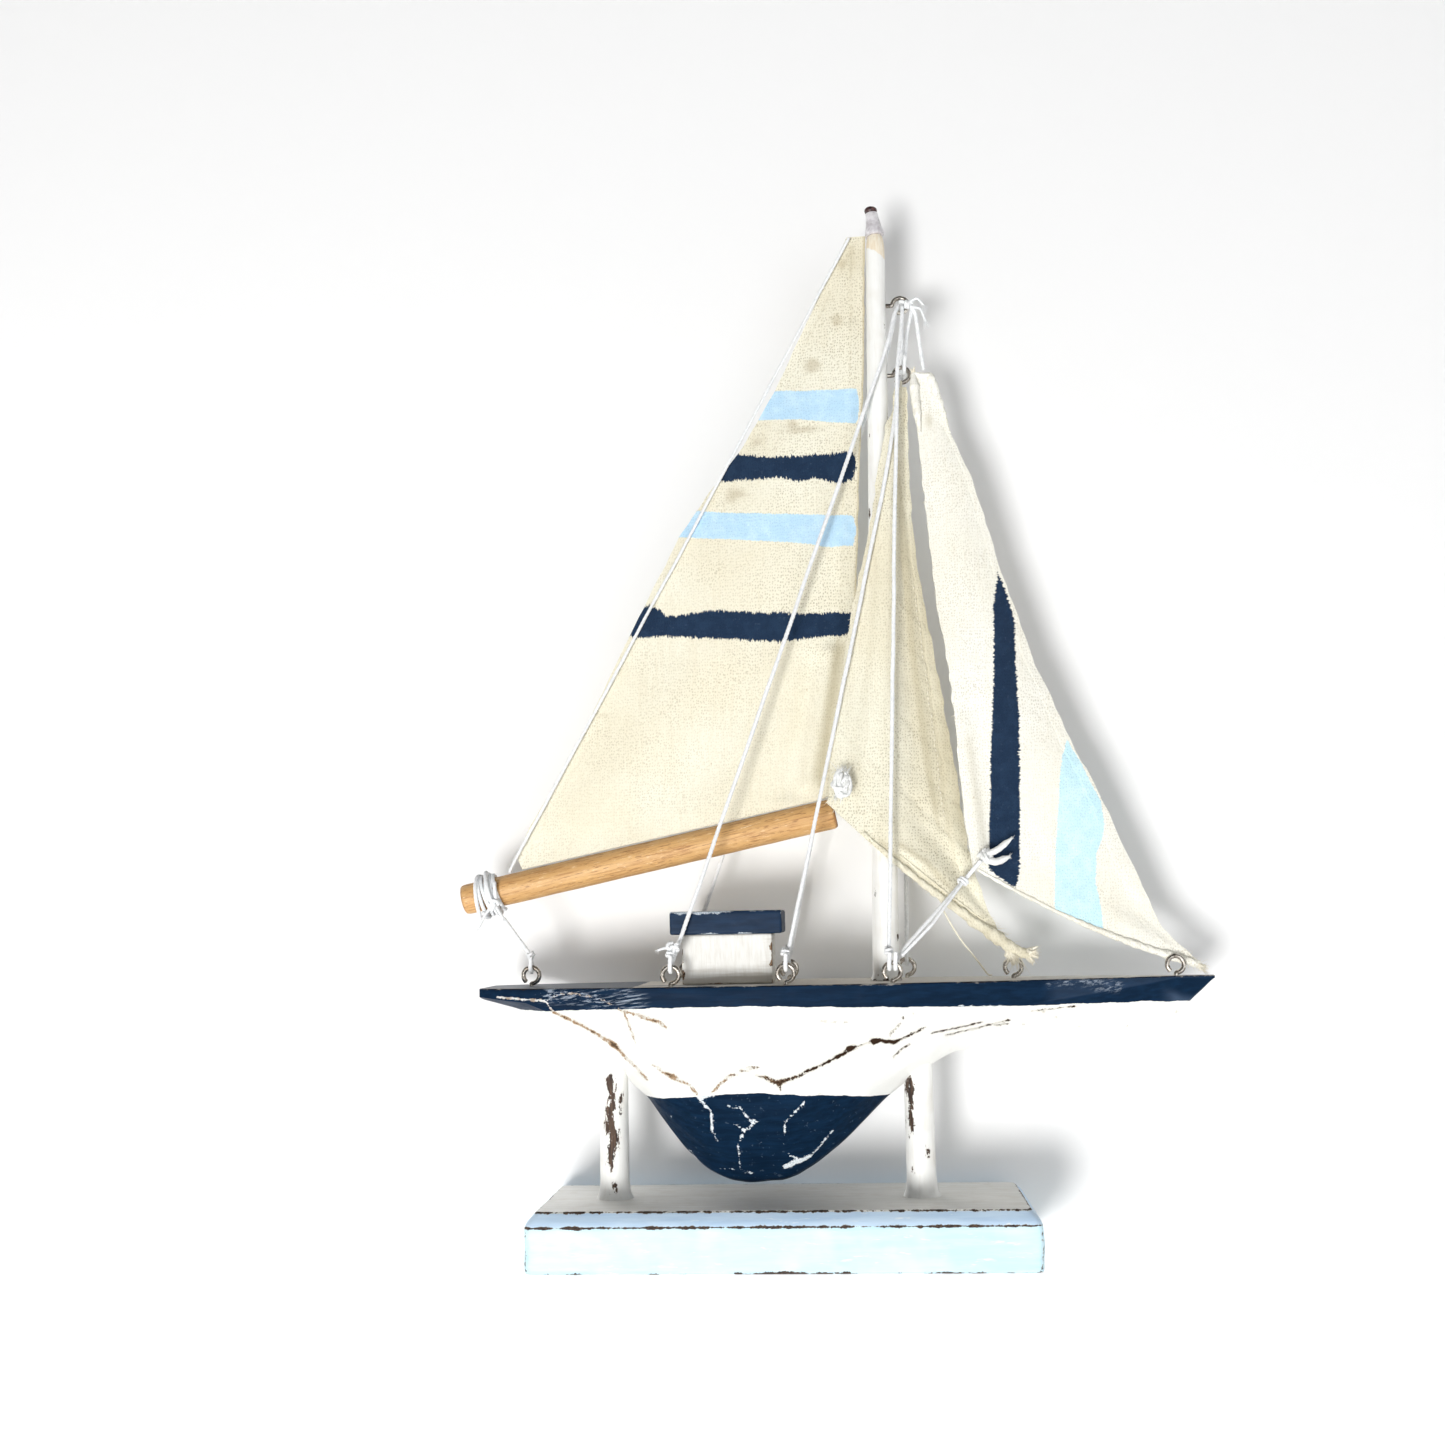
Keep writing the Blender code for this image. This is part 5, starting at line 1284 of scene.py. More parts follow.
def main_depth(U, V, P):
    q = P.reshape(-1, 3)
    small = (0.45 * fbm(q, 38.0, 90) + 0.10 * vnoise(q * np.array([1, 1, 0.35]), 6.0, 92)).reshape(U.shape)
    edge = np.minimum(1, 12 * np.minimum(U, 1 - U)) * np.minimum(1, 25 * V)
    r = 1.5 * ridge(P, (19.5, 190), (11.5, 148), 3.0) - 0.9 * ridge(P, (13.0, 186), (4.5, 146), 3.6)
    r += 0.7 * ridge(P, (-60, 140), (-20, 190), 9.0) - 0.6 * ridge(P, (-50, 130), (0, 175), 8.0)
    r += 0.6 * ridge(P, (30, 300), (24, 215), 2.4)
    return -2.6 * hump(U, V) + (small - r) * edge


LB1 = [(3.6, 279.3), (11.9, 278.4), (21.9, 278.3), (30.6, 278.7), (31.2, 276), (31.4, 273.0), (31.1, 269), (30.2, 266.9), (21.5, 267.4), (11.7, 268.7), (-0.7, 269.4), (-8, 270), (-4, 281)]
NV1 = [(-9.2, 258.2), (1.4, 256.2), (11.4, 256.1), (21.2, 256.6), (28.6, 257.4), (29.8, 255), (29.6, 251.8), (28.6, 247.8), (23.6, 246.4), (16.1, 248.5), (11.1, 247.3), (4.6, 249.2), (-5.4, 248.8), (-12, 249.0), (-19, 249.4), (-14, 259)]
LB2 = [(-18.6, 238.7), (-8.9, 237.6), (7.6, 236.6), (28.0, 235.7), (29.2, 230.8), (27.9, 225.6), (19.4, 225.4), (10.6, 226.8), (-2.5, 227.9), (-15.7, 229.2), (-30.7, 230.8), (-30, 240)]
NV2 = [(-41.0, 208.5), (-36.5, 206.8), (-34.0, 204.2), (-26.0, 204.5), (-17.7, 205.4), (-3.0, 204.2), (10.0, 203.3), (26.6, 203.5), (27.2, 199.7), (25.6, 196.1), (16.3, 195.6), (3.9, 194.2), (-9.8, 195.2), (-22.9, 196.3), (-34.4, 197.5), (-44.5, 197.3), (-49, 200)]


def main_attrs(x, z, U, V):
    lb = np.maximum(in_polygon(x, z, LB1), in_polygon(x, z, LB2))
    nv = np.maximum(in_polygon(x, z, NV1), in_polygon(x, z, NV2))
    st = np.full(len(x), -3.0)
    for cx, cz, a, b, k in ((24.6, 302.1, 2.6, 3.2, 0.9), (16.1, 286.9, 3.4, 3.6, 1.25), (12.4, 265.0, 9.0, 1.9, 0.8),
                            (-10.4, 243.9, 5.0, 3.4, 0.75), (-3.0, 262.0, 4.2, 2.6, 0.6), (27.0, 322.0, 2.0, 2.6, 0.7),
                            (9.0, 267.0, 3.2, 2.2, 0.9), (-55.0, 172.0, 4.0, 1.2, 0.5)):
        st = np.maximum(st, k * (1 - np.hypot((x - cx) / a, (z - cz) / b)))
    p = np.stack([x, 0 * x, z], 1)
    shade = 0.75 * np.exp(-(np.abs(near_lines(x, z, [line(0, (22.5, 192), (15.5, 150))])) / 2.6) ** 2)
    shade += 0.45 * np.clip((z - 290) / 30, 0, 1) * np.clip(vnoise(p, 9.0, 95) + 0.5, 0, 1)
    luff = (1 - U) * np.interp(z, [120, 145, 200, 250, 300, 331], [97, 88, 74, 46, 22, 6])
    shade += 0.9 * np.clip(1.2 - luff / 0.8, 0, 1)
    shade += 0.62 * np.exp(-((luff - 4.6) / 0.45) ** 2) * (0.25 + 0.75 * (np.sin(z * 2.4) > 0.1))
    leech = U * np.interp(z, [120, 145, 200, 250, 300, 331], [97, 88, 74, 46, 22, 6])
    shade += 0.30 * np.exp(-((leech - 3.8) / 0.5) ** 2) * (0.4 + 0.6 * (np.sin(z * 2.4) > -0.3))
    # painted shadow: a brown line along the luff, where the cloth meets the mast
    st = np.maximum(st, np.where(z > 150, 1.5 - luff * 2.4 + 0.5 * vnoise(p, 6.0, 97), -3.0))
    dense = np.clip((x + 25) / 45, 0, 1) * np.clip((z - 150) / 60, 0, 1)
    return {"lb": lb, "nv": nv, "stain_and_luff_shadow": st, "shade": np.clip(shade, 0, 1), "dense": 0.8 * dense}


main, mainP, mainN = sail_visual("mainsail_skin", "mainsail", "main_rig", MAIN_AFT, MAIN_FORE, main_depth,
                                 0.0, 236, 112, MAIN, main_attrs, seed=1, ragged=0.22, widen=1.0)

STAY_AFT = [(17.2, -13.6, 140.6), (18.0, -12.9, 148.6), (25.7, -8.3, 195.8),
            (27.3, -7.6, 205.2), (32.2, -6.0, 225.2), (35.2, -5.2, 240.0),
            (39.6, -4.6, 264.0), (45.0, -0.6, 278.6)]
STAY_FORE = [(73.0, 0.6, 94.4), (70.0, 0.4, 99.0), (66.4, 0.2, 108.5),
             (63.0, 0.2, 118.0), (60.2, 0.2, 134.0), (58.6, 0.2, 150.0),
             (54.4, 0.0, 178.0), (50.2, 0.0, 206.0), (47.2, -0.4, 228.0),
             (46.8, -0.6, 254.0), (47.2, -0.4, 278.6)]


def stay_depth(U, V, P):
    q = P.reshape(-1, 3)
    small = (0.35 * fbm(q, 22.0, 101)).reshape(U.shape)
    edge = np.minimum(1, 9 * np.minimum(U, 1 - U)) * np.minimum(1, 14 * V)
    # one upright fold: the cloth turns away from it on the fore side
    tent = np.clip(1 - np.abs(U - 0.40) / 0.42, 0, 1)
    fold = 2.4 * tent * np.sin(np.pi * np.clip(V * 0.9 + 0.05, 0, 1)) ** 0.8
    groove = -1.1 * np.exp(-((U - 0.60) / 0.10) ** 2) * np.clip(V * 3, 0, 1) * np.clip((0.9 - V) * 4, 0, 1)
    # creases running to the lower corner
    dx, dz = P[..., 0] - 76.0, P[..., 2] - 92.0
    r = np.hypot(dx, dz)
    ang = np.arctan2(dz, -dx)
    w = np.exp(-((r - 30) / 20) ** 2)
    crease = w * (0.9 * np.sin(ang * 17 + 0.4) + 0.5 * np.sin(ang * 29 + 1.0))
    knot = 0.8 * ridge(P, (40, 128), (48, 122), 1.4) + 0.7 * ridge(P, (46, 121), (55, 113), 1.5) - 0.8 * ridge(P, (42, 124), (50, 118), 1.5)
    return -1.7 * hump(U, V) + (small - fold - groove - crease - knot) * edge


def stay_attrs(x, z, U, V):
    hem = np.clip(1 - np.abs(U - 0.86) / 0.05, 0, 1) * (z > 120)
    sh = 0.75 * np.clip((U - 0.74) / 0.10, 0, 1) * np.clip((z - 118) / 14, 0, 1) * np.clip((262 - z) / 40, 0, 1)
    sh = sh * (0.55 + 0.45 * np.clip(1 - (1 - U) / 0.12, 0, 1))
    p = np.stack([x, 0 * x, z], 1)
    sh += 0.30 * np.clip(vnoise(p * np.array([2.2, 1, 0.5]), 11.0, 105), 0, 1)
    dk = near_lines(x, z, [line(0, (40, 127), (48, 121.5), (56, 112.5)), line(0, (34, 128), (42, 119.5))])
    sh += 0.6 * np.exp(-(np.abs(dk) / 1.1) ** 2)
    dense = np.clip((U - 0.52) / 0.12, 0, 1) * np.clip((0.86 - U) / 0.05, 0, 1)
    crease = near_lines(x, z, [line(0, (42.0, 262), (43.6, 239.7), (46.0, 189.9), (49.4, 154.1), (52.6, 128.3))])
    sh += 0.85 * np.exp(-(np.abs(crease) / 1.0) ** 2) * np.clip((z - 126) / 14, 0, 1)
    sh += 0.40 * np.clip((U - 0.50) / 0.12, 0, 1) * np.clip((0.84 - U) / 0.06, 0, 1) * np.clip((z - 135) / 20, 0, 1)
    left = near_lines(x, z, [line(0, (36.5, 238), (33.5, 200), (28.5, 160), (26.5, 138))])
    sh += 0.30 * np.exp(-(np.abs(left) / 1.8) ** 2)
    return {"shade": np.clip(sh + 0.25 * hem, 0, 1), "dense": 0.45 + 0.55 * dense}


stay, stayP, stayN = sail_visual("staysail_skin", "staysail", "hull", STAY_AFT, STAY_FORE, stay_depth,
                                 2.6, 210, 70, STAY, stay_attrs, seed=3, ragged=0.45,
                                 hem=lambda U, V, P: 0.28 * (U > 0.875) * (P[..., 2] > 112))

JIB_AFT = [(62.7, -6.6, 119.4), (60.4, -6.2, 132.0), (59.6, -5.8, 150.0),
           (57.4, -5.0, 182.0), (54.2, -3.8, 206.0), (51.9, -2.8, 236.0),
           (50.3, -2.0, 262.0), (49.4, -1.0, 282.6)]
JIB_FORE = [(134.0, 1.7, 87.0), (128.2, 1.7, 92.6), (121.2, 1.6, 99.6),
            (113.6, 1.0, 118.0), (105.2, 0.6, 139.0), (96.0, 0.4, 158.4),
            (84.6, 0.2, 186.0), (75.2, 0.0, 217.0), (67.6, 0.0, 246.0),
            (59.2, -0.4, 266.0), (55.2, -0.8, 282.6)]


def jib_depth(U, V, P):
    q = P.reshape(-1, 3)
    small = (0.40 * fbm(q, 26.0, 111)).reshape(U.shape)
    edge = np.minimum(1, 10 * np.minimum(U, 1 - U)) * np.minimum(1, 20 * V)
    r = 0.9 * ridge(P, (64, 122), (60, 165), 2.6) - 0.7 * ridge(P, (69, 122), (66, 170), 3.4)
    dx, dz = P[..., 0] - 131.0, P[..., 2] - 88.0
    rr = np.hypot(dx, dz)
    ang = np.arctan2(dz, -dx)
    cr = np.exp(-((rr - 22) / 18) ** 2) * 0.45 * np.sin(ang * 13)
    return -1.6 * np.sin(np.pi * U) * np.sin(np.pi * V) + (small - r - cr) * edge


JNV = [(74.6, 214.8), (72.8, 205.7), (72.0, 189.1), (71.0, 172.7), (69.5, 153.5), (68.4, 134.4), (67.4, 118.9), (70.8, 116.1), (75.7, 112.8), (77.2, 118.4), (78.2, 141.2), (78.7, 153.3), (79.2, 169.7), (79.0, 185.8), (79.1, 198.8), (77.2, 207.8)]
JLB = [(94.3, 159.7), (92.3, 154.1), (90.7, 142.3), (89.5, 130.5), (88.2, 117.0), (87.7, 103.0), (94.9, 99.5), (102.8, 96.2), (102.4, 107.0), (101.1, 113.9), (101.9, 123.4), (104.1, 128.1), (105.0, 132.5), (104.2, 139.9), (101.3, 145.7), (98.2, 152.9)]


def jib_attrs(x, z, U, V):
    seam = np.clip(1 - np.abs((1 - U) - 0.115) / 0.016, 0, 1) * (V > 0.04)
    sh = 0.35 * seam + 0.16 * np.clip(1 - (1 - U) / 0.10, 0, 1)
    sh += 0.45 * np.exp(-(np.abs(near_lines(x, z, [line(0, (66.5, 122), (62.5, 160))])) / 2.0) ** 2)
    sh += 0.8 * np.clip(1.2 - np.hypot((x - 54.0) / 2.0, (z - 266.5) / 3.8), 0, 1) * 0.95
    return {"lb": in_polygon(x, z, JLB), "nv": in_polygon(x, z, JNV), "shade": np.clip(sh, 0, 1)}


jib, jibP, jibN = sail_visual("outer_jib_skin", "outer_jib", "jib", JIB_AFT, JIB_FORE, jib_depth,
                              3.0, 214, 90, JIB, jib_attrs, seed=6,
                              hem=lambda U, V, P: 0.22 * ((1 - U) < 0.115) * (V > 0.03))


def cut_area(P):
    a = np.cross(P[1:, 1:] - P[:-1, :-1], P[1:, :-1] - P[:-1, 1:])
    return float(np.linalg.norm(a, axis=2).sum() / 2)


AREAS = {"main": cut_area(mainP), "stay": cut_area(stayP), "jib": cut_area(jibP)}


# stitches and loose fibres on the sails
def stitches(name, P, nrm, u_of_v, v0, v1, count, mat, body, lift=0.42, size=(0.16, 0.95)):
    rows, cols = P.shape[:2]
    parts = []
    vv = np.linspace(v0, v1, count)
    for v in vv:
        i = v * (rows - 1)
        j = u_of_v(v) * (cols - 1)
        i0, j0 = int(min(i, rows - 2)), int(min(j, cols - 2))
        c = P[i0, j0] * (1 - (j - j0)) + P[i0, j0 + 1] * (j - j0)
        d = P[i0 + 1, j0] - P[i0, j0]
        d /= np.linalg.norm(d)
        n = nrm[i0, j0]
        if n[1] > 0:
            n = -n
        s = size[1]
        q = np.array([c + d * s * t + n * (lift + 0.10 * math.cos(math.pi * t)) for t in np.linspace(-0.5, 0.5, 5)])
        parts.append(tube(q, size[0], 5, taper=np.array([0.5, 1, 1, 1, 0.5])))
    v, f = join(parts)
    ob = make(name, v, f, mat)
    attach(ob, body)
    return ob


stay_st = stitches("staysail_stitches", stayP, stayN, lambda v: 0.815 + 0.02 * v, 0.16, 0.62, 44, FRINGE, "hull")


def edge_fibres(name, edges, mat, body, seed, radius=0.075):
    parts = []
    for k, (p, out, length, count, spread) in enumerate(edges):
        parts += bristles(p, out, length, radius, count, 0.25, spread, seed + k)
    v, f = join(parts)
    ob = make(name, v, f, mat)
    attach(ob, body)
    return ob


def outs(p, d):
    return np.repeat(np.array([d], float) / np.linalg.norm(d), len(p), 0)


main_fr = edge_fibres("mainsail_fibres", [
    (mainP[:, 0], outs(mainP[:, 0], (-1, 0, 0.45)), 0.8, 210, 0.5),
    (mainP[:, -1], outs(mainP[:, -1], (1, 0, 0)), 0.7, 120, 0.5),
    (mainP[0, :], outs(mainP[0, :], (0, -0.5, -1)), 0.6, 90, 0.5)], FRINGE, "main_rig", 200)
stay_fr = edge_fibres("staysail_fibres", [
    (stayP[:, 0], outs(stayP[:, 0], (-1, -0.2, 0)), 0.9, 150, 0.5),
    (stayP[:, -1], outs(stayP[:, -1], (1, 0, 0)), 0.8, 110, 0.5),
    (stayP[0, :], outs(stayP[0, :], (-0.5, 0, -1)), 1.1, 110, 0.5),
    (stayP[:8, -8:].reshape(-1, 3), outs(stayP[:8, -8:].reshape(-1, 3), (0.9, -0.2, -0.5)), 4.2, 130, 0.55)], FRINGE, "hull", 300)
jib_fr = edge_fibres("outer_jib_fibres", [
    (jibP[:, 0], outs(jibP[:, 0], (-1, -0.2, 0)), 0.9, 170, 0.5),
    (jibP[:, -1], outs(jibP[:, -1], (1, 0, 0.4)), 0.6, 110, 0.5),
    (jibP[0, :], outs(jibP[0, :], (-0.4, 0, -1)), 1.0, 130, 0.5),
    (jibP[:5, -7:].reshape(-1, 3), outs(jibP[:5, -7:].reshape(-1, 3), (1.0, -0.3, -0.6)), 3.0, 60, 0.5),
    (jibP[-6:, :].reshape(-1, 3), outs(jibP[-6:, :].reshape(-1, 3), (0.2, -0.5, 1.0)), 1.4, 50, 0.6)], FRINGE, "jib", 400)


# rolled hems and frayed ends
def roll(name, path, radius, mat, body, seed, flat=0.0):
    """A loosely rolled hem, uneven along its length."""
    p = soften(resample(path, 0.32), 5)
    n = len(p)
    s = np.arange(n) * 0.32
    k = 1 + 0.22 * vnoise(np.stack([s, s * 0 + seed, s * 0], 1), 4.5, seed) + 0.12 * vnoise(np.stack([s, s * 0 + seed, s * 0], 1), 1.4, seed + 1)
    r = np.interp(np.linspace(0, 1, n), np.linspace(0, 1, len(radius)), radius) * k
    v, f = tube(p, r, 20, 4, 0.14, 13.0, phase=seed)
    d = 0.16 * vnoise(v, 1.5, seed + 2)
    v = v + (v - np.vstack([np.repeat(p, 20, 0), p[:1], p[-1:]])) / np.maximum(np.linalg.norm(v - np.vstack([np.repeat(p, 20, 0), p[:1], p[-1:]]), axis=1), 1e-6)[:, None] * d[:, None]
    ob = make(name, v, f, mat, True, {"shade": np.clip(0.18 + 0.4 * vnoise(v, 3.0, seed + 3), 0, 1), "dense": np.zeros(len(v)), "lb": np.full(len(v), -9.0), "nv": np.full(len(v), -9.0)})
    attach(ob, body)
    return ob


def tuft(name, at, out, length, count, mat, body, seed, strands=5, core=0.75):
    """A frayed cloth end: soft strands that open into fibres."""
    rng = np.random.default_rng(seed)
    at, out = np.array(at, float), np.array(out, float) / np.linalg.norm(out)
    parts = []
    for k in range(strands):
        o = out + rng.normal(0, 0.30, 3) * np.array([1, 0.5, 1])
        o /= np.linalg.norm(o)
        b = rng.normal(0, 0.5, 3) * np.array([1, 0.5, 1])
        q = np.array([at + rng.normal(0, 0.01, 3) + o * length * t + b * t * t * length * 0.3 for t in np.linspace(-0.12, 0.92, 22)])
        r = core * rng.uniform(0.75, 1.15)
        parts.append(tube(q, r * (1 + 0.18 * np.sin(np.arange(22) * 1.7 + k)), 12, 5, 0.28, 5.0, taper=np.interp(np.linspace(0, 1, 22), [0, 0.2, 0.6, 1], [0.7, 1.0, 0.85, 0.22])))
        i = np.arange(4, 22, 2)
        parts += bristles(q[i], np.repeat(o[None], len(i), 0), length * 0.34, 0.085, count // strands, 0.15, 0.55, seed * 7 + k)
    v, f = join(parts)
    ob = make(name, v, f, mat)
    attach(ob, body)
    return ob


def row_path(P, nrm, i, j0, j1, lift, drop):
    j = np.arange(j0, j1)
    n = nrm[i, j] * np.where(nrm[i, j, 1] > 0, -1, 1)[:, None]
    return P[i, j] + n * lift + np.array([0, 0, drop])


cols_s, cols_j = stayP.shape[1], jibP.shape[1]
LOWER_X = EYE_X["eye_mast_lower"]
stay_rolls = [
    roll("staysail_foot_hem", row_path(stayP, stayN, 1, int(cols_s * 0.20), cols_s - 3, 0.35, 0.5), [0.55, 0.8, 1.05, 1.25, 1.3, 1.15], STAY, "hull", 41),
    roll("staysail_foot_fold", row_path(stayP, stayN, 7, int(cols_s * 0.42), cols_s - 6, 0.25, 0.0), [0.2, 0.42, 0.5, 0.45, 0.3], STAY, "hull", 47),
    roll("staysail_tack_roll", [tuple(row_path(stayP, stayN, 2, int(cols_s * 0.62), int(cols_s * 0.62) + 1, 0.6, 0.2)[0]), (62.5, -1.3, 102.6), (67.6, -2.0, 98.9), (72.4, -2.6, 95.2), (76.4, -2.8, 92.8), (79.2, -2.6, 91.8)],
         [0.5, 1.0, 1.55, 1.85, 1.75, 1.5], STAY, "hull", 49),
    roll("staysail_head_roll", [(LOWER_X - 0.6, -1.0, 280.6), (LOWER_X - 1.6, -1.3, 277.0), (LOWER_X - 2.2, -1.3, 268.0), (LOWER_X - 3.0, -1.1, 256.0), (LOWER_X - 4.2, -0.9, 244.0)],
         [1.0, 1.5, 1.35, 1.0, 0.4], STAY, "hull", 43),
    tuft("staysail_tack_tuft", (77.4, -2.7, 92.5), (0.95, -0.05, -0.20), 4.3, 700, FRINGE, "hull", 51, 11, 1.05),
    tuft("staysail_tack_wisps", (78.6, -2.7, 91.9), (0.55, -0.10, -0.80), 2.9, 420, FRINGE, "hull", 59, 8, 0.8),
    tuft("staysail_tack_fluff", (72.6, -2.9, 93.4), (0.25, -0.15, -1.0), 2.8, 260, FRINGE, "hull", 57, 6, 0.6),
]
jib_rolls = [
    roll("outer_jib_foot_hem", row_path(jibP, jibN, 0, 2, cols_j - 2, 0.1, 0.3), [0.5, 0.6, 0.6, 0.75, 1.0, 1.3, 1.2], JIB, "jib", 61),
    roll("outer_jib_head_flap", [tuple(jibP[-1, 5] + (0, -0.6, -0.3)), tuple(jibP[-4, 4] + (0, -0.9, 0)), tuple(jibP[-12, 2] + (0, -0.9, 0)), tuple(jibP[-21, 2] + (0.2, -0.7, 0)), tuple(jibP[-27, 3] + (0.4, -0.4, 0))],
         [1.0, 1.5, 1.55, 1.25, 0.5], JIB, "jib", 69),
    roll("outer_jib_head_hem", [tuple(jibP[-1, 1] + (0, -0.5, -0.2)), tuple(jibP[-1, -2] + (0, -0.5, -0.4)), tuple(jibP[-9, -2] + (0.1, -0.5, 0)), tuple(jibP[-22, -2] + (0.1, -0.3, 0))], [0.8, 1.35, 1.3, 0.95, 0.5], JIB, "jib", 67),
    tuft("outer_jib_tack_tuft", jibP[1, -3] + np.array([-1.2, -0.5, 0.4]), (0.9, -0.12, -0.55), 4.6, 110, FRINGE, "jib", 71, 4, 0.62),
    tuft("outer_jib_head_tuft", jibP[-1, 4] + np.array([0.0, -0.5, 0.0]), (0.1, -0.3, 1.0), 2.6, 60, FRINGE, "jib", 73, 3, 0.5),
]


# =====================================================================
# strings
# =====================================================================
STRING_R, NEAR = 0.65, 0.2
CLEAR = EYE_WIRE + NEAR + STRING_R + 0.1


def rope(name, node, body, pts, r=STRING_R, mat=None, rounds=4, step=0.36, extra=()):
    p = soften(resample(pts, step), rounds)
    n = len(p)
    wob = np.stack([vnoise(np.stack([np.arange(n) * step, np.full(n, k * 7.0), np.zeros(n)], 1), 9.0, 130 + k) for k in range(3)], 1)
    env = np.minimum(1, np.minimum(np.arange(n), n - 1 - np.arange(n)) / 25.0)[:, None]
    p = p + wob * 0.10 * env
    rad = r * (1 + 0.05 * vnoise(np.stack([np.arange(n) * step, np.zeros(n), np.zeros(n)], 1), 4.0, 140))
    parts = [tube(p, rad, 15, 3, 0.20, 4.2)] + list(extra)
    v, f = join(parts)
    ob = make(name, v, f, mat or STRING)
    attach(ob, body)
    if node:
        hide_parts(node)
    return ob


def hold_both_ends(ob):
    """A sheet's foot sits in its ring and its top at the spar or the sail; this takes the sheet off its rigid body and
    parent, keeping where it is.
    """
    if "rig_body" in ob:
        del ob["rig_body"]
    ob.parent = None
    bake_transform(ob)


def knot_at(c, size, r, axis=(0, 1, 0), turn=0.0, seed=0, tails=()):
    """An overhand knot drawn tight, with short tails."""
    t = np.linspace(0, 2 * np.pi, 90)[:-4]
    q = np.stack([np.sin(t) + 2 * np.sin(2 * t), np.cos(t) - 2 * np.cos(2 * t), -1.25 * np.sin(3 * t)], 1) * size / 3.0
    a = np.array(axis, float); a /= np.linalg.norm(a)
    z = np.array([0, 0, 1.0]) if abs(a[2]) < 0.9 else np.array([1.0, 0, 0])
    s = np.cross(z, a); s /= np.linalg.norm(s)
    w = np.cross(a, s)
    ct, st = math.cos(turn), math.sin(turn)
    s, w = s * ct + w * st, w * ct - s * st
    p = np.array(c) + q[:, :1] * s + q[:, 1:2] * w + q[:, 2:3] * a
    parts = [tube(resample(p, 0.3), r, 12, 3, 0.18, 4.0)]
    for end, k in tails:
        q = along([tuple(p[0 if k == 0 else -1]), tuple((np.array(c) + np.array(end)) / 2 + np.array([0, 0, 0.5])), tuple(end)], np.linspace(0, 1, 16))
        q = soften(q, 3)
        parts.append(tube(q, r * 0.95, 12, 3, 0.18, 4.0, taper=np.linspace(1, 0.8, 16)))
        e, o = q[-1:], (q[-1] - q[-3])[None] / np.linalg.norm(q[-1] - q[-3])
        parts += bristles(e, o, 1.4, 0.09, 14, 0.1, 0.35, seed + k)
    return parts


def wrap(c, axis, radius, turns, length, r):
    """A few turns of string round a leg."""
    a = np.array(axis, float); a /= np.linalg.norm(a)
    ref = np.array([1.0, 0, 0]) if abs(a[0]) < 0.9 else np.array([0, 1.0, 0])
    s = np.cross(a, ref); s /= np.linalg.norm(s)
    w = np.cross(a, s)
    t = np.linspace(0, 1, int(turns * 22))
    ang = 2 * np.pi * turns * t
    p = np.array(c) + (radius * np.cos(ang))[:, None] * s + (radius * np.sin(ang))[:, None] * w + ((t - 0.5) * length)[:, None] * a
    return [tube(p, r, 10, 3, 0.16, 4.0)]


def hook_top(x, y, z, side, clear=CLEAR):
    pts = []
    for deg in range(0, 181, 20):
        a = math.radians(deg)
        pts.append((x, y + side * clear * math.cos(a), z - clear * math.sin(a)))
    return [(x + 0.25, y + side * (clear + 0.35), z + 3.4)] + pts


def leg_end(x, y, side, degrees=0.0):
    a = math.radians(degrees)
    return hook_top(x + EYE_R * math.sin(a), y, EYE_Z + EYE_R * math.cos(a), side,
                    CLEAR * (1.0 if degrees == 0.0 else 1.1))


def through(x, z, reach=1.65, drop=0.5):
    return [(x, -reach, z - drop), (x, -0.8, z), (x, 0.8, z), (x, reach, z - drop)]


def mirror(points):
    return [(x, -y, z) for x, y, z in points]


UX, UZ = EYE_X["eye_mast_upper"], 307.0
LX, LZ = EYE_X["eye_mast_lower"], 283.0


def tied(eye, side, up, seed, big=False, degrees=0.0):
    """The knot above a deck ring, where the string's end is tied to its leg."""
    x, y = EYES[eye]
    a = math.radians(degrees)
    c = np.array([x + EYE_R * math.sin(a), y, EYE_Z + EYE_R * math.cos(a) + 3.6])
    up = np.array(up, float) - c
    up /= np.linalg.norm(up)
    parts = wrap(c + up * 0.2, up, 1.02, 2.2, 1.9, 0.50)
    if big:
        parts += knot_at(c + up * 2.0, 1.9, 0.55, (0.3, 1, 0.2), 0.5, seed,
                         [((c[0] - 3.4, c[1] - 1.2, c[2] + 1.6), 0), ((c[0] + 2.6, c[1] - 1.6, c[2] + 3.4), 1)])
    return parts


def shroud(name, node, top, near_way, near_eye, far_way, far_eye, turn=0.0, extra=()):
    nx, ny = EYES[near_eye]
    fx, fy = EYES[far_eye]
    pts = leg_end(nx, ny, -1, turn) + list(reversed(near_way)) + through(*top) \
        + far_way + list(reversed(leg_end(fx, fy, 1)))
    return rope(name, node, "hull", pts, extra=extra)


aft_way = [(UX - 1.8, -2.6, 303.6), (41.6, -4.7, 293.4), (38.6, -5.3, 285.0)]
fore_way = [(UX + 0.6, -2.4, 303.2), (44.2, -6.2, 284.0), (42.2, -9.0, 247.0)]
mid_way = [(LX - 1.3, -2.6, 279.6), (43.4, -4.9, 271.0), (40.6, -6.8, 255.0), (37.6, -7.2, 240.0)]
mid_far = [(LX - 1.3, 2.6, 279.6), (41.8, 4.9, 266.0), (37.4, 5.6, 247.0)]
fore_far = [(UX + 0.6, 2.4, 303.2), (46.0, 4.6, 284.0)]
shroud("shroud_aft_string", "shroud_aft", (UX - 0.80, UZ - 0.50), aft_way, "eye_aft_starboard",
       mirror(aft_way), "eye_aft_port",
       extra=tied("eye_aft_starboard", -1, aft_way[-1], 1, True) + tied("eye_aft_port", 1, mirror(aft_way)[-1], 2))
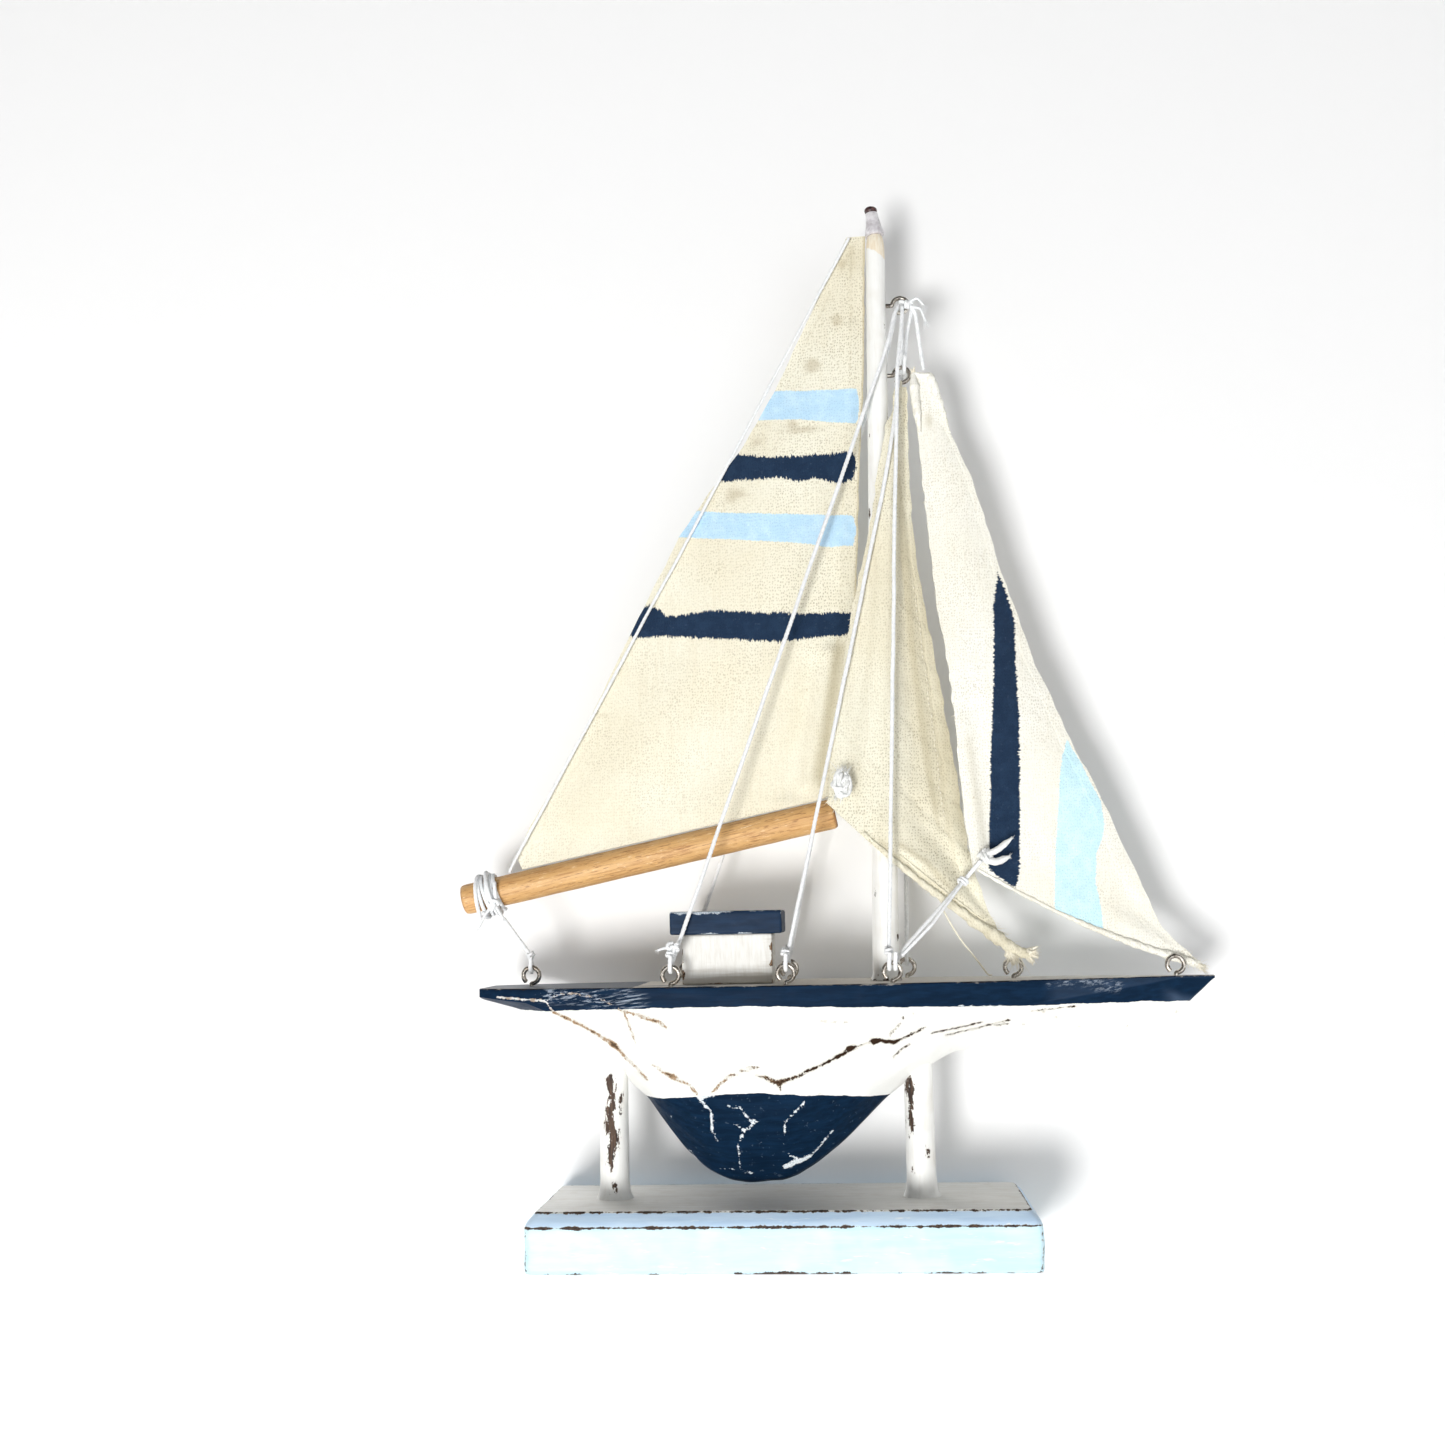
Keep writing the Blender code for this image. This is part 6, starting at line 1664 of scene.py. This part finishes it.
shroud("shroud_fore_string", "shroud_fore", (UX + 0.72, UZ - 0.62), fore_way, "eye_fore_starboard",
       fore_far, "eye_fore_port", -21.0,
       extra=tied("eye_fore_starboard", -1, fore_way[-1], 3, False, -21.0) + tied("eye_fore_port", 1, fore_far[-1], 4))
shroud("shroud_mid_string", "shroud_mid", (LX - 0.75, LZ - 0.62), mid_way, "eye_mid_starboard",
       mid_far, "eye_mid_port",
       extra=tied("eye_mid_starboard", -1, mid_way[-1], 5) + tied("eye_mid_port", 1, mid_far[-1], 6))

pts = hook_top(LX + 0.89, 0.0, LZ + EYE_R * 0.94, -1, CLEAR * 1.1)
pts += [(UX + 2.3, 1.9, 299.0), (UX + 3.8, 1.9, 304.6), (UX + 3.4, 2.1, 306.9),
        (UX + 1.7, 2.2, 308.1), (UX + 0.15, 1.5, UZ + 0.95),
        (UX + 0.15, -1.5, UZ + 0.95), (UX + 3.2, -2.0, 306.4),
        (UX + 4.9, -1.9, 303.0), (52.9, -0.9, 284.3)]
tails = []
for k, (a, b, c) in enumerate((((UX + 2.6, -2.6, 306.8), (UX + 5.6, -3.0, 308.4), (UX + 7.6, -3.2, 305.6)),
                               ((UX + 3.2, -2.8, 305.4), (UX + 6.6, -3.2, 304.6), (UX + 8.0, -3.0, 300.4)))):
    q = soften(resample([a, b, c], 0.4), 6)
    tails.append(tube(q, 0.52, 10, 3, 0.18, 4.0, taper=np.linspace(1, 0.75, len(q))))
    tails += bristles(q[-1:], (q[-1] - q[-3])[None] / np.linalg.norm(q[-1] - q[-3]), 2.4, 0.09, 26, 0.3, 0.4, 500 + k)
tails += wrap((UX + 2.6, -2.0, 306.4), (0.9, -0.2, -0.35), 1.0, 2.0, 1.8, 0.5)
rope("jib_halyard_string", "jib_halyard", "hull", pts, extra=tails)
rope("topping_lift_string", "topping_lift", "main_rig",
     [(29.6, -1.9, 330.6), (-29.0, -1.9, 224.8), (-84.0, -2.2, 126.2), (-86.4, -2.6, 121.4)], r=0.52)
sx, sy = EYES["eye_stern"]
sheet_top = (-88.6, -1.2, boom_z(-88.6) - BOOM_R - 3 * STRING_R - 2.1)
mss = rope("main_sheet_string", "main_sheet", "main_sheet",
     leg_end(sx, sy, -1) + [(sx - 0.6, 1.2, EYE_Z + EYE_R + 4.0), sheet_top],
     extra=tied("eye_stern", -1, sheet_top, 7))
hold_both_ends(mss)
jx, jy = EYES["eye_fore_starboard"]
jib_end = (60.6, -8.3, 116.9)
jib_knot = [(62.6, -9.9, 119.2), (64.6, -11.0, 121.4)]
jl = leg_end(jx, jy, -1, 21.0) + [(jx + 2.9, jy + 3.2, EYE_Z + EYE_R + 3.0), (60.2, -8.9, 116.4)] + jib_knot
jl2 = [(x + 0.5, y - 1.15, z - 0.35) for x, y, z in [(jx + 2.6, jy + 2.2, EYE_Z + EYE_R + 2.4), (48.0, -16.2, 102.5)]] + [(59.4, -9.6, 115.6)]
jss = rope("jib_sheet_string", "jib_sheet", "jib_sheet", jl,
     extra=[tube(soften(resample(jl2, 0.36), 4), 0.55, 15, 3, 0.2, 4.2)] + wrap((59.0, -9.2, 115.2), (0.72, 0.30, 0.62), 1.3, 2.0, 1.8, 0.5))
hold_both_ends(jss)


# the boom's lashing: crossing turns, as it was wound by hand
def lashing():
    LR = BOOM_R + 0.3 + STRING_R
    parts = []
    for turns, x0, x1, ph, lift, seed in ((3.5, -96.3, -89.4, 0.0, 0.0, 1), (2.3, -89.8, -97.0, 1.1, 0.75, 2), (1.4, -95.2, -91.0, 2.5, 1.35, 3)):
        t = np.linspace(0, 1, int(turns * 60))
        a = 2 * np.pi * turns * t + math.pi / 2 + ph
        x = x0 + (x1 - x0) * t + 0.5 * np.sin(a * 0.5 + seed)
        c = np.stack([x, 0 * x, boom_z(x)], 1)
        R = LR + lift + 0.12 * np.sin(3 * a)
        parts.append(tube(c + (R * np.cos(a))[:, None] * SIDE + (R * np.sin(a))[:, None] * UPV, STRING_R * 0.98, 14, 3, 0.2, 4.2))
    c = np.array([-91.2, -4.6, boom_z(-91.2) - 3.6])
    parts += knot_at(c + np.array([0, -1.2, 0]), 2.0, 0.58, (0.1, 1, 0.2), 0.3, 9,
                     [((-95.6, -6.8, 103.6), 0), ((-87.6, -6.6, 106.6), 1)])
    v, f = join(parts)
    ob = make("boom_lashing_string", v, f, STRING)
    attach(ob, "main_rig"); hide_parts("boom_lashing")


lashing()


# knots of the two headsails
def bunch(name, node, body, centre, radii, mat, seed, parts=()):
    """A tight bunch of cloth and string."""
    rows, segs = 28, 36
    th = np.linspace(0.03, np.pi - 0.03, rows)
    ph = np.arange(segs) * 2 * np.pi / segs
    T, F = np.meshgrid(th, ph, indexing="ij")
    d = np.stack([np.sin(T) * np.cos(F), np.sin(T) * np.sin(F), np.cos(T)], -1).reshape(-1, 3)
    k = 1 + 0.26 * vnoise(d * 3.0, 1.0, seed) + 0.13 * np.sin(7 * F.ravel() + 3 * T.ravel()) + 0.08 * vnoise(d * 9.0, 1.0, seed + 1)
    v = np.array(centre) + d * np.array(radii) * k[:, None]
    f = grid_faces(rows, segs, True).tolist() + [tuple(range(segs)), tuple(reversed(range((rows - 1) * segs, rows * segs)))]
    v, f = join([(v, f)] + list(parts))
    ob = make(name, v, f, mat)
    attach(ob, body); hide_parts(node)
    return ob


c1 = np.array([21.6, -16.6, 146.0])


def tangle(c, radii, r, count, seed):
    """Loops of string drawn over one another."""
    rng = np.random.default_rng(seed)
    parts = []
    for k in range(count):
        a, b = rng.normal(0, 1, 3), rng.normal(0, 1, 3)
        a /= np.linalg.norm(a)
        b -= a * (a @ b)
        b /= np.linalg.norm(b)
        t = np.linspace(0, rng.uniform(1.2, 1.9) * np.pi, 40)
        q = np.array(c) + (np.cos(t)[:, None] * a + np.sin(t)[:, None] * b) * np.array(radii) * rng.uniform(0.75, 1.05) + rng.normal(0, 0.12, 3) * np.array(radii)
        parts.append(tube(soften(q, 2), r * rng.uniform(0.85, 1.15), 12, 3, 0.2, 4.0, taper=np.interp(np.linspace(0, 1, 40), [0, 0.1, 0.9, 1], [0.5, 1, 1, 0.5])))
    return parts


p1 = tangle(c1 + (0.4, -0.2, 0.4), (2.5, 1.2, 4.2), 0.66, 8, 81)
p1 += bristles(np.array([c1 + (0.5, -0.6, 4.4), c1 + (2.2, -0.6, 3.6), c1 + (-0.6, -0.5, 4.2)]), outs(np.zeros((3, 3)), (0.25, -0.2, 1)), 2.6, 0.10, 40, 0.0, 0.5, 610)
p1 += bristles(np.array([c1 + (0.2, -0.6, -4.2), c1 + (-1.4, -0.6, -3.4)]), outs(np.zeros((2, 3)), (-0.3, -0.2, -1)), 2.2, 0.10, 22, 0.2, 0.5, 611)
bunch("staysail_clew_bunch", "staysail_clew_knot", "hull", c1, (1.6, 1.0, 3.2), TIE, 31, p1)
c2 = np.array([66.4, -9.6, 123.0])
p2 = []
for k, (a, b, c, w) in enumerate((((66.0, -10.2, 123.2), (69.8, -11.0, 124.6), (74.4, -11.2, 128.2), 1.0),
                                  ((66.0, -10.2, 121.6), (69.6, -11.2, 120.9), (73.6, -11.0, 122.6), 1.15))):
    q = soften(resample([a, b, c], 0.35), 8)
    m_ = len(q)
    p2.append(tube(q, w, 16, 5, 0.20, 9.0, taper=np.interp(np.linspace(0, 1, m_), [0, 0.3, 0.75, 1], [0.7, 1.05, 0.95, 0.35])))
    p2 += bristles(q[-2:], np.repeat(((q[-1] - q[-4]) / np.linalg.norm(q[-1] - q[-4]))[None], 2, 0), 1.3, 0.09, 16, 0.0, 0.35, 620 + k)
p2 += wrap((66.6, -9.9, 122.4), (0.8, -0.25, 0.3), 1.7, 2.1, 2.0, 0.5)
bunch("outer_jib_clew_bunch", "jib_clew_knot", "jib", c2, (2.1, 1.4, 2.0), TIE, 37, p2)

# the staysail's tie at its ring
tx, ty = EYES["eye_staysail_tack"]
tie = rope("staysail_tack_string", "staysail_tack_tie", "hull",
           leg_end(tx, ty, -1) + [(tx - 0.4, 1.9, EYE_Z + EYE_R + 1.6)], r=0.6, mat=FRINGE,
           extra=wrap((tx - 0.2, 0.0, EYE_Z + EYE_R + 1.4), (0.3, 0.1, 1), 1.9, 2.4, 2.0, 0.5)
           + bristles(np.array([(tx - 1.5, -1.5, 91.5), (tx + 0.5, -1.6, 91.0), (tx + 1.6, -1.2, 92.0)]),
                      outs(np.zeros((3, 3)), (0.1, -0.5, -0.8)), 4.2, 0.10, 46, 0.3, 0.6, 640))

# the loose thread: a free cord, the same route as in the design
THREAD = [(52.5, -4.4, 108.0), (53.7, -3.2, 104.7), (58.0, 0.4, 97.4),
          (62.9, 5.0, 91.2), (65.7, 9.0, 87.6), (67.2, 12.0, 85.7),
          (68.2, 14.6, 85.1), (68.9, 16.4, 85.05)]


def spline(points, n=8):
    p = [Vector(q) for q in points]
    p = [2 * p[0] - p[1]] + p + [2 * p[-1] - p[-2]]
    fine = []
    for a, b, c, d in zip(p, p[1:], p[2:], p[3:]):
        for k in range(n):
            t = k / n
            fine.append(0.5 * ((2 * b) + (c - a) * t + (2 * a - 5 * b + 4 * c - d) * t * t
                               + (3 * b - a - 3 * c + d) * t * t * t))
    fine.append(p[-2])
    return fine


route = spline(THREAD)
cu = bpy.data.curves.new("loose_thread_curve", "CURVE")
cu.dimensions = "3D"
sp = cu.splines.new("POLY")
sp.points.add(len(route) - 1)
for q, co in zip(sp.points, route):
    q.co = (co[0] * MM, co[1] * MM, co[2] * MM, 1)
cu.bevel_depth = 0.0003
cu.bevel_resolution = 3
cu.use_fill_caps = True
cu.materials.append(FRINGE.m)
thread = bpy.data.objects.new("loose_thread_fibre", cu)
bpy.context.scene.collection.objects.link(thread)
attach(thread, "hull")
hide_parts("loose_thread")


# =====================================================================
# stage and light
# =====================================================================
def stage_material(name, colour, glow, one_sided=False, low=None):
    m = bpy.data.materials.new(name)
    m.use_nodes = True
    nt = m.node_tree
    nt.nodes.clear()
    out = nt.nodes.new("ShaderNodeOutputMaterial")
    d = nt.nodes.new("ShaderNodeBsdfDiffuse")
    d.inputs[0].default_value = (*colour, 1)
    e = nt.nodes.new("ShaderNodeEmission")
    e.inputs[0].default_value = (1, 1, 1, 1)
    e.inputs[1].default_value = glow
    if low is not None:
        # the level part glows, so that it stays white under the low light
        co = nt.nodes.new("ShaderNodeTexCoord")
        xyz = nt.nodes.new("ShaderNodeSeparateXYZ")
        up = nt.nodes.new("ShaderNodeMapRange")
        nt.links.new(co.outputs["Object"], xyz.inputs[0])
        nt.links.new(xyz.outputs[2], up.inputs["Value"])
        for k, x in zip(("From Min", "From Max", "To Min", "To Max"), (0.0, 0.0034, low, glow)):
            up.inputs[k].default_value = x
        nt.links.new(up.outputs[0], e.inputs[1])
    # part of the paper's own glow is kept off the boat
    lp = nt.nodes.new("ShaderNodeLightPath")
    dim = nt.nodes.new("ShaderNodeMapRange")
    nt.links.new(lp.outputs["Is Camera Ray"], dim.inputs["Value"])
    dim.inputs["To Min"].default_value = 0.6
    dim.inputs["To Max"].default_value = 1.0
    times = nt.nodes.new("ShaderNodeMath")
    times.operation = "MULTIPLY"
    nt.links.new(dim.outputs[0], times.inputs[0])
    times.inputs[1].default_value = glow
    if low is not None:
        nt.links.new(up.outputs[0], times.inputs[1])
    nt.links.new(times.outputs[0], e.inputs[1])
    a = nt.nodes.new("ShaderNodeAddShader")
    nt.links.new(d.outputs[0], a.inputs[0])
    nt.links.new(e.outputs[0], a.inputs[1])
    last = a
    if one_sided:
        g = nt.nodes.new("ShaderNodeNewGeometry")
        t = nt.nodes.new("ShaderNodeBsdfTransparent")
        x = nt.nodes.new("ShaderNodeMixShader")
        nt.links.new(g.outputs["Backfacing"], x.inputs[0])
        nt.links.new(a.outputs[0], x.inputs[1])
        nt.links.new(t.outputs[0], x.inputs[2])
        last = x
    nt.links.new(last.outputs[0], out.inputs[0])
    return m


def plane(name, corners, mat):
    me = bpy.data.meshes.new(name)
    me.from_pydata(corners, [], [(0, 1, 2, 3)])
    me.materials.append(mat)
    ob = bpy.data.objects.new(name, me)
    bpy.context.scene.collection.objects.link(ob)
    return ob


# a floor that runs up into a low backdrop just behind the stand
ys = [(-3.0, 0.0), (0.0285, 0.0)]
for k in range(1, 9):
    a = math.pi / 2 * k / 8
    ys.append((0.0285 + 0.0035 * math.sin(a), 0.0035 * (1 - math.cos(a))))
ys += [(0.032, 3.0)]
verts, faces = [], []
for y, z in ys:
    verts += [(-3.0, y, z), (3.0, y, z)]
for k in range(len(ys) - 1):
    faces.append((2 * k, 2 * k + 1, 2 * k + 3, 2 * k + 2))
me = bpy.data.meshes.new("sweep")
me.from_pydata(verts, [], faces)
me.materials.append(stage_material("sweep_paper", (0.84, 0.84, 0.84), 0.03, True, 0.72))
for p in me.polygons:
    p.use_smooth = True
sweep = bpy.data.objects.new("sweep", me)
sweep.visible_shadow = False
bpy.context.scene.collection.objects.link(sweep)
plane("floor_behind", [(-3.0, 0.0285, -0.0004), (3.0, 0.0285, -0.0004), (3.0, 3.0, -0.0004), (-3.0, 3.0, -0.0004)],
      stage_material("floor_paper", (0.82, 0.82, 0.82), 0.80))


def area_light(name, loc, target, size, power, colour=(1, 1, 1), size_y=None):
    l = bpy.data.lights.new(name, "AREA")
    l.energy = power
    l.color = colour
    l.shape = "RECTANGLE" if size_y else "DISK"
    l.size = size
    if size_y:
        l.size_y = size_y
    ob = bpy.data.objects.new(name, l)
    ob.location = loc
    ob.rotation_mode = "QUATERNION"
    ob.rotation_quaternion = (Vector(target) - Vector(loc)).to_track_quat("-Z", "Y")
    bpy.context.scene.collection.objects.link(ob)
    return ob


area_light("key", (-0.40, -1.42, -0.34), (0.02, 0.0, 0.14), 0.44, 20.4, (1.0, 0.995, 0.985))
area_light("fill", (0.6, -1.3, 0.16), (0.02, 0.0, 0.16), 1.1, 5.2, (0.97, 0.985, 1.0))
area_light("back_left", (-0.8, 1.35, 0.34), (0.0, 0.0, 0.15), 0.9, 10.0)
world = bpy.data.worlds.new("world")
bpy.context.scene.world = world
world.use_nodes = True
wn = world.node_tree
bg = wn.nodes["Background"]
bg.inputs[0].default_value = (0.96, 0.975, 1.0, 1)
bg.inputs[1].default_value = 0.08
bg2 = wn.nodes.new("ShaderNodeBackground")
bg2.inputs[0].default_value = (0.97, 0.97, 0.97, 1)
bg2.inputs[1].default_value = 1.0
lp = wn.nodes.new("ShaderNodeLightPath")
mx = wn.nodes.new("ShaderNodeMixShader")
wn.links.new(lp.outputs["Is Camera Ray"], mx.inputs[0])
wn.links.new(bg.outputs[0], mx.inputs[1])
wn.links.new(bg2.outputs[0], mx.inputs[2])
wn.links.new(mx.outputs[0], wn.nodes["World Output"].inputs[0])
bpy.context.scene.view_settings.view_transform = "Standard"
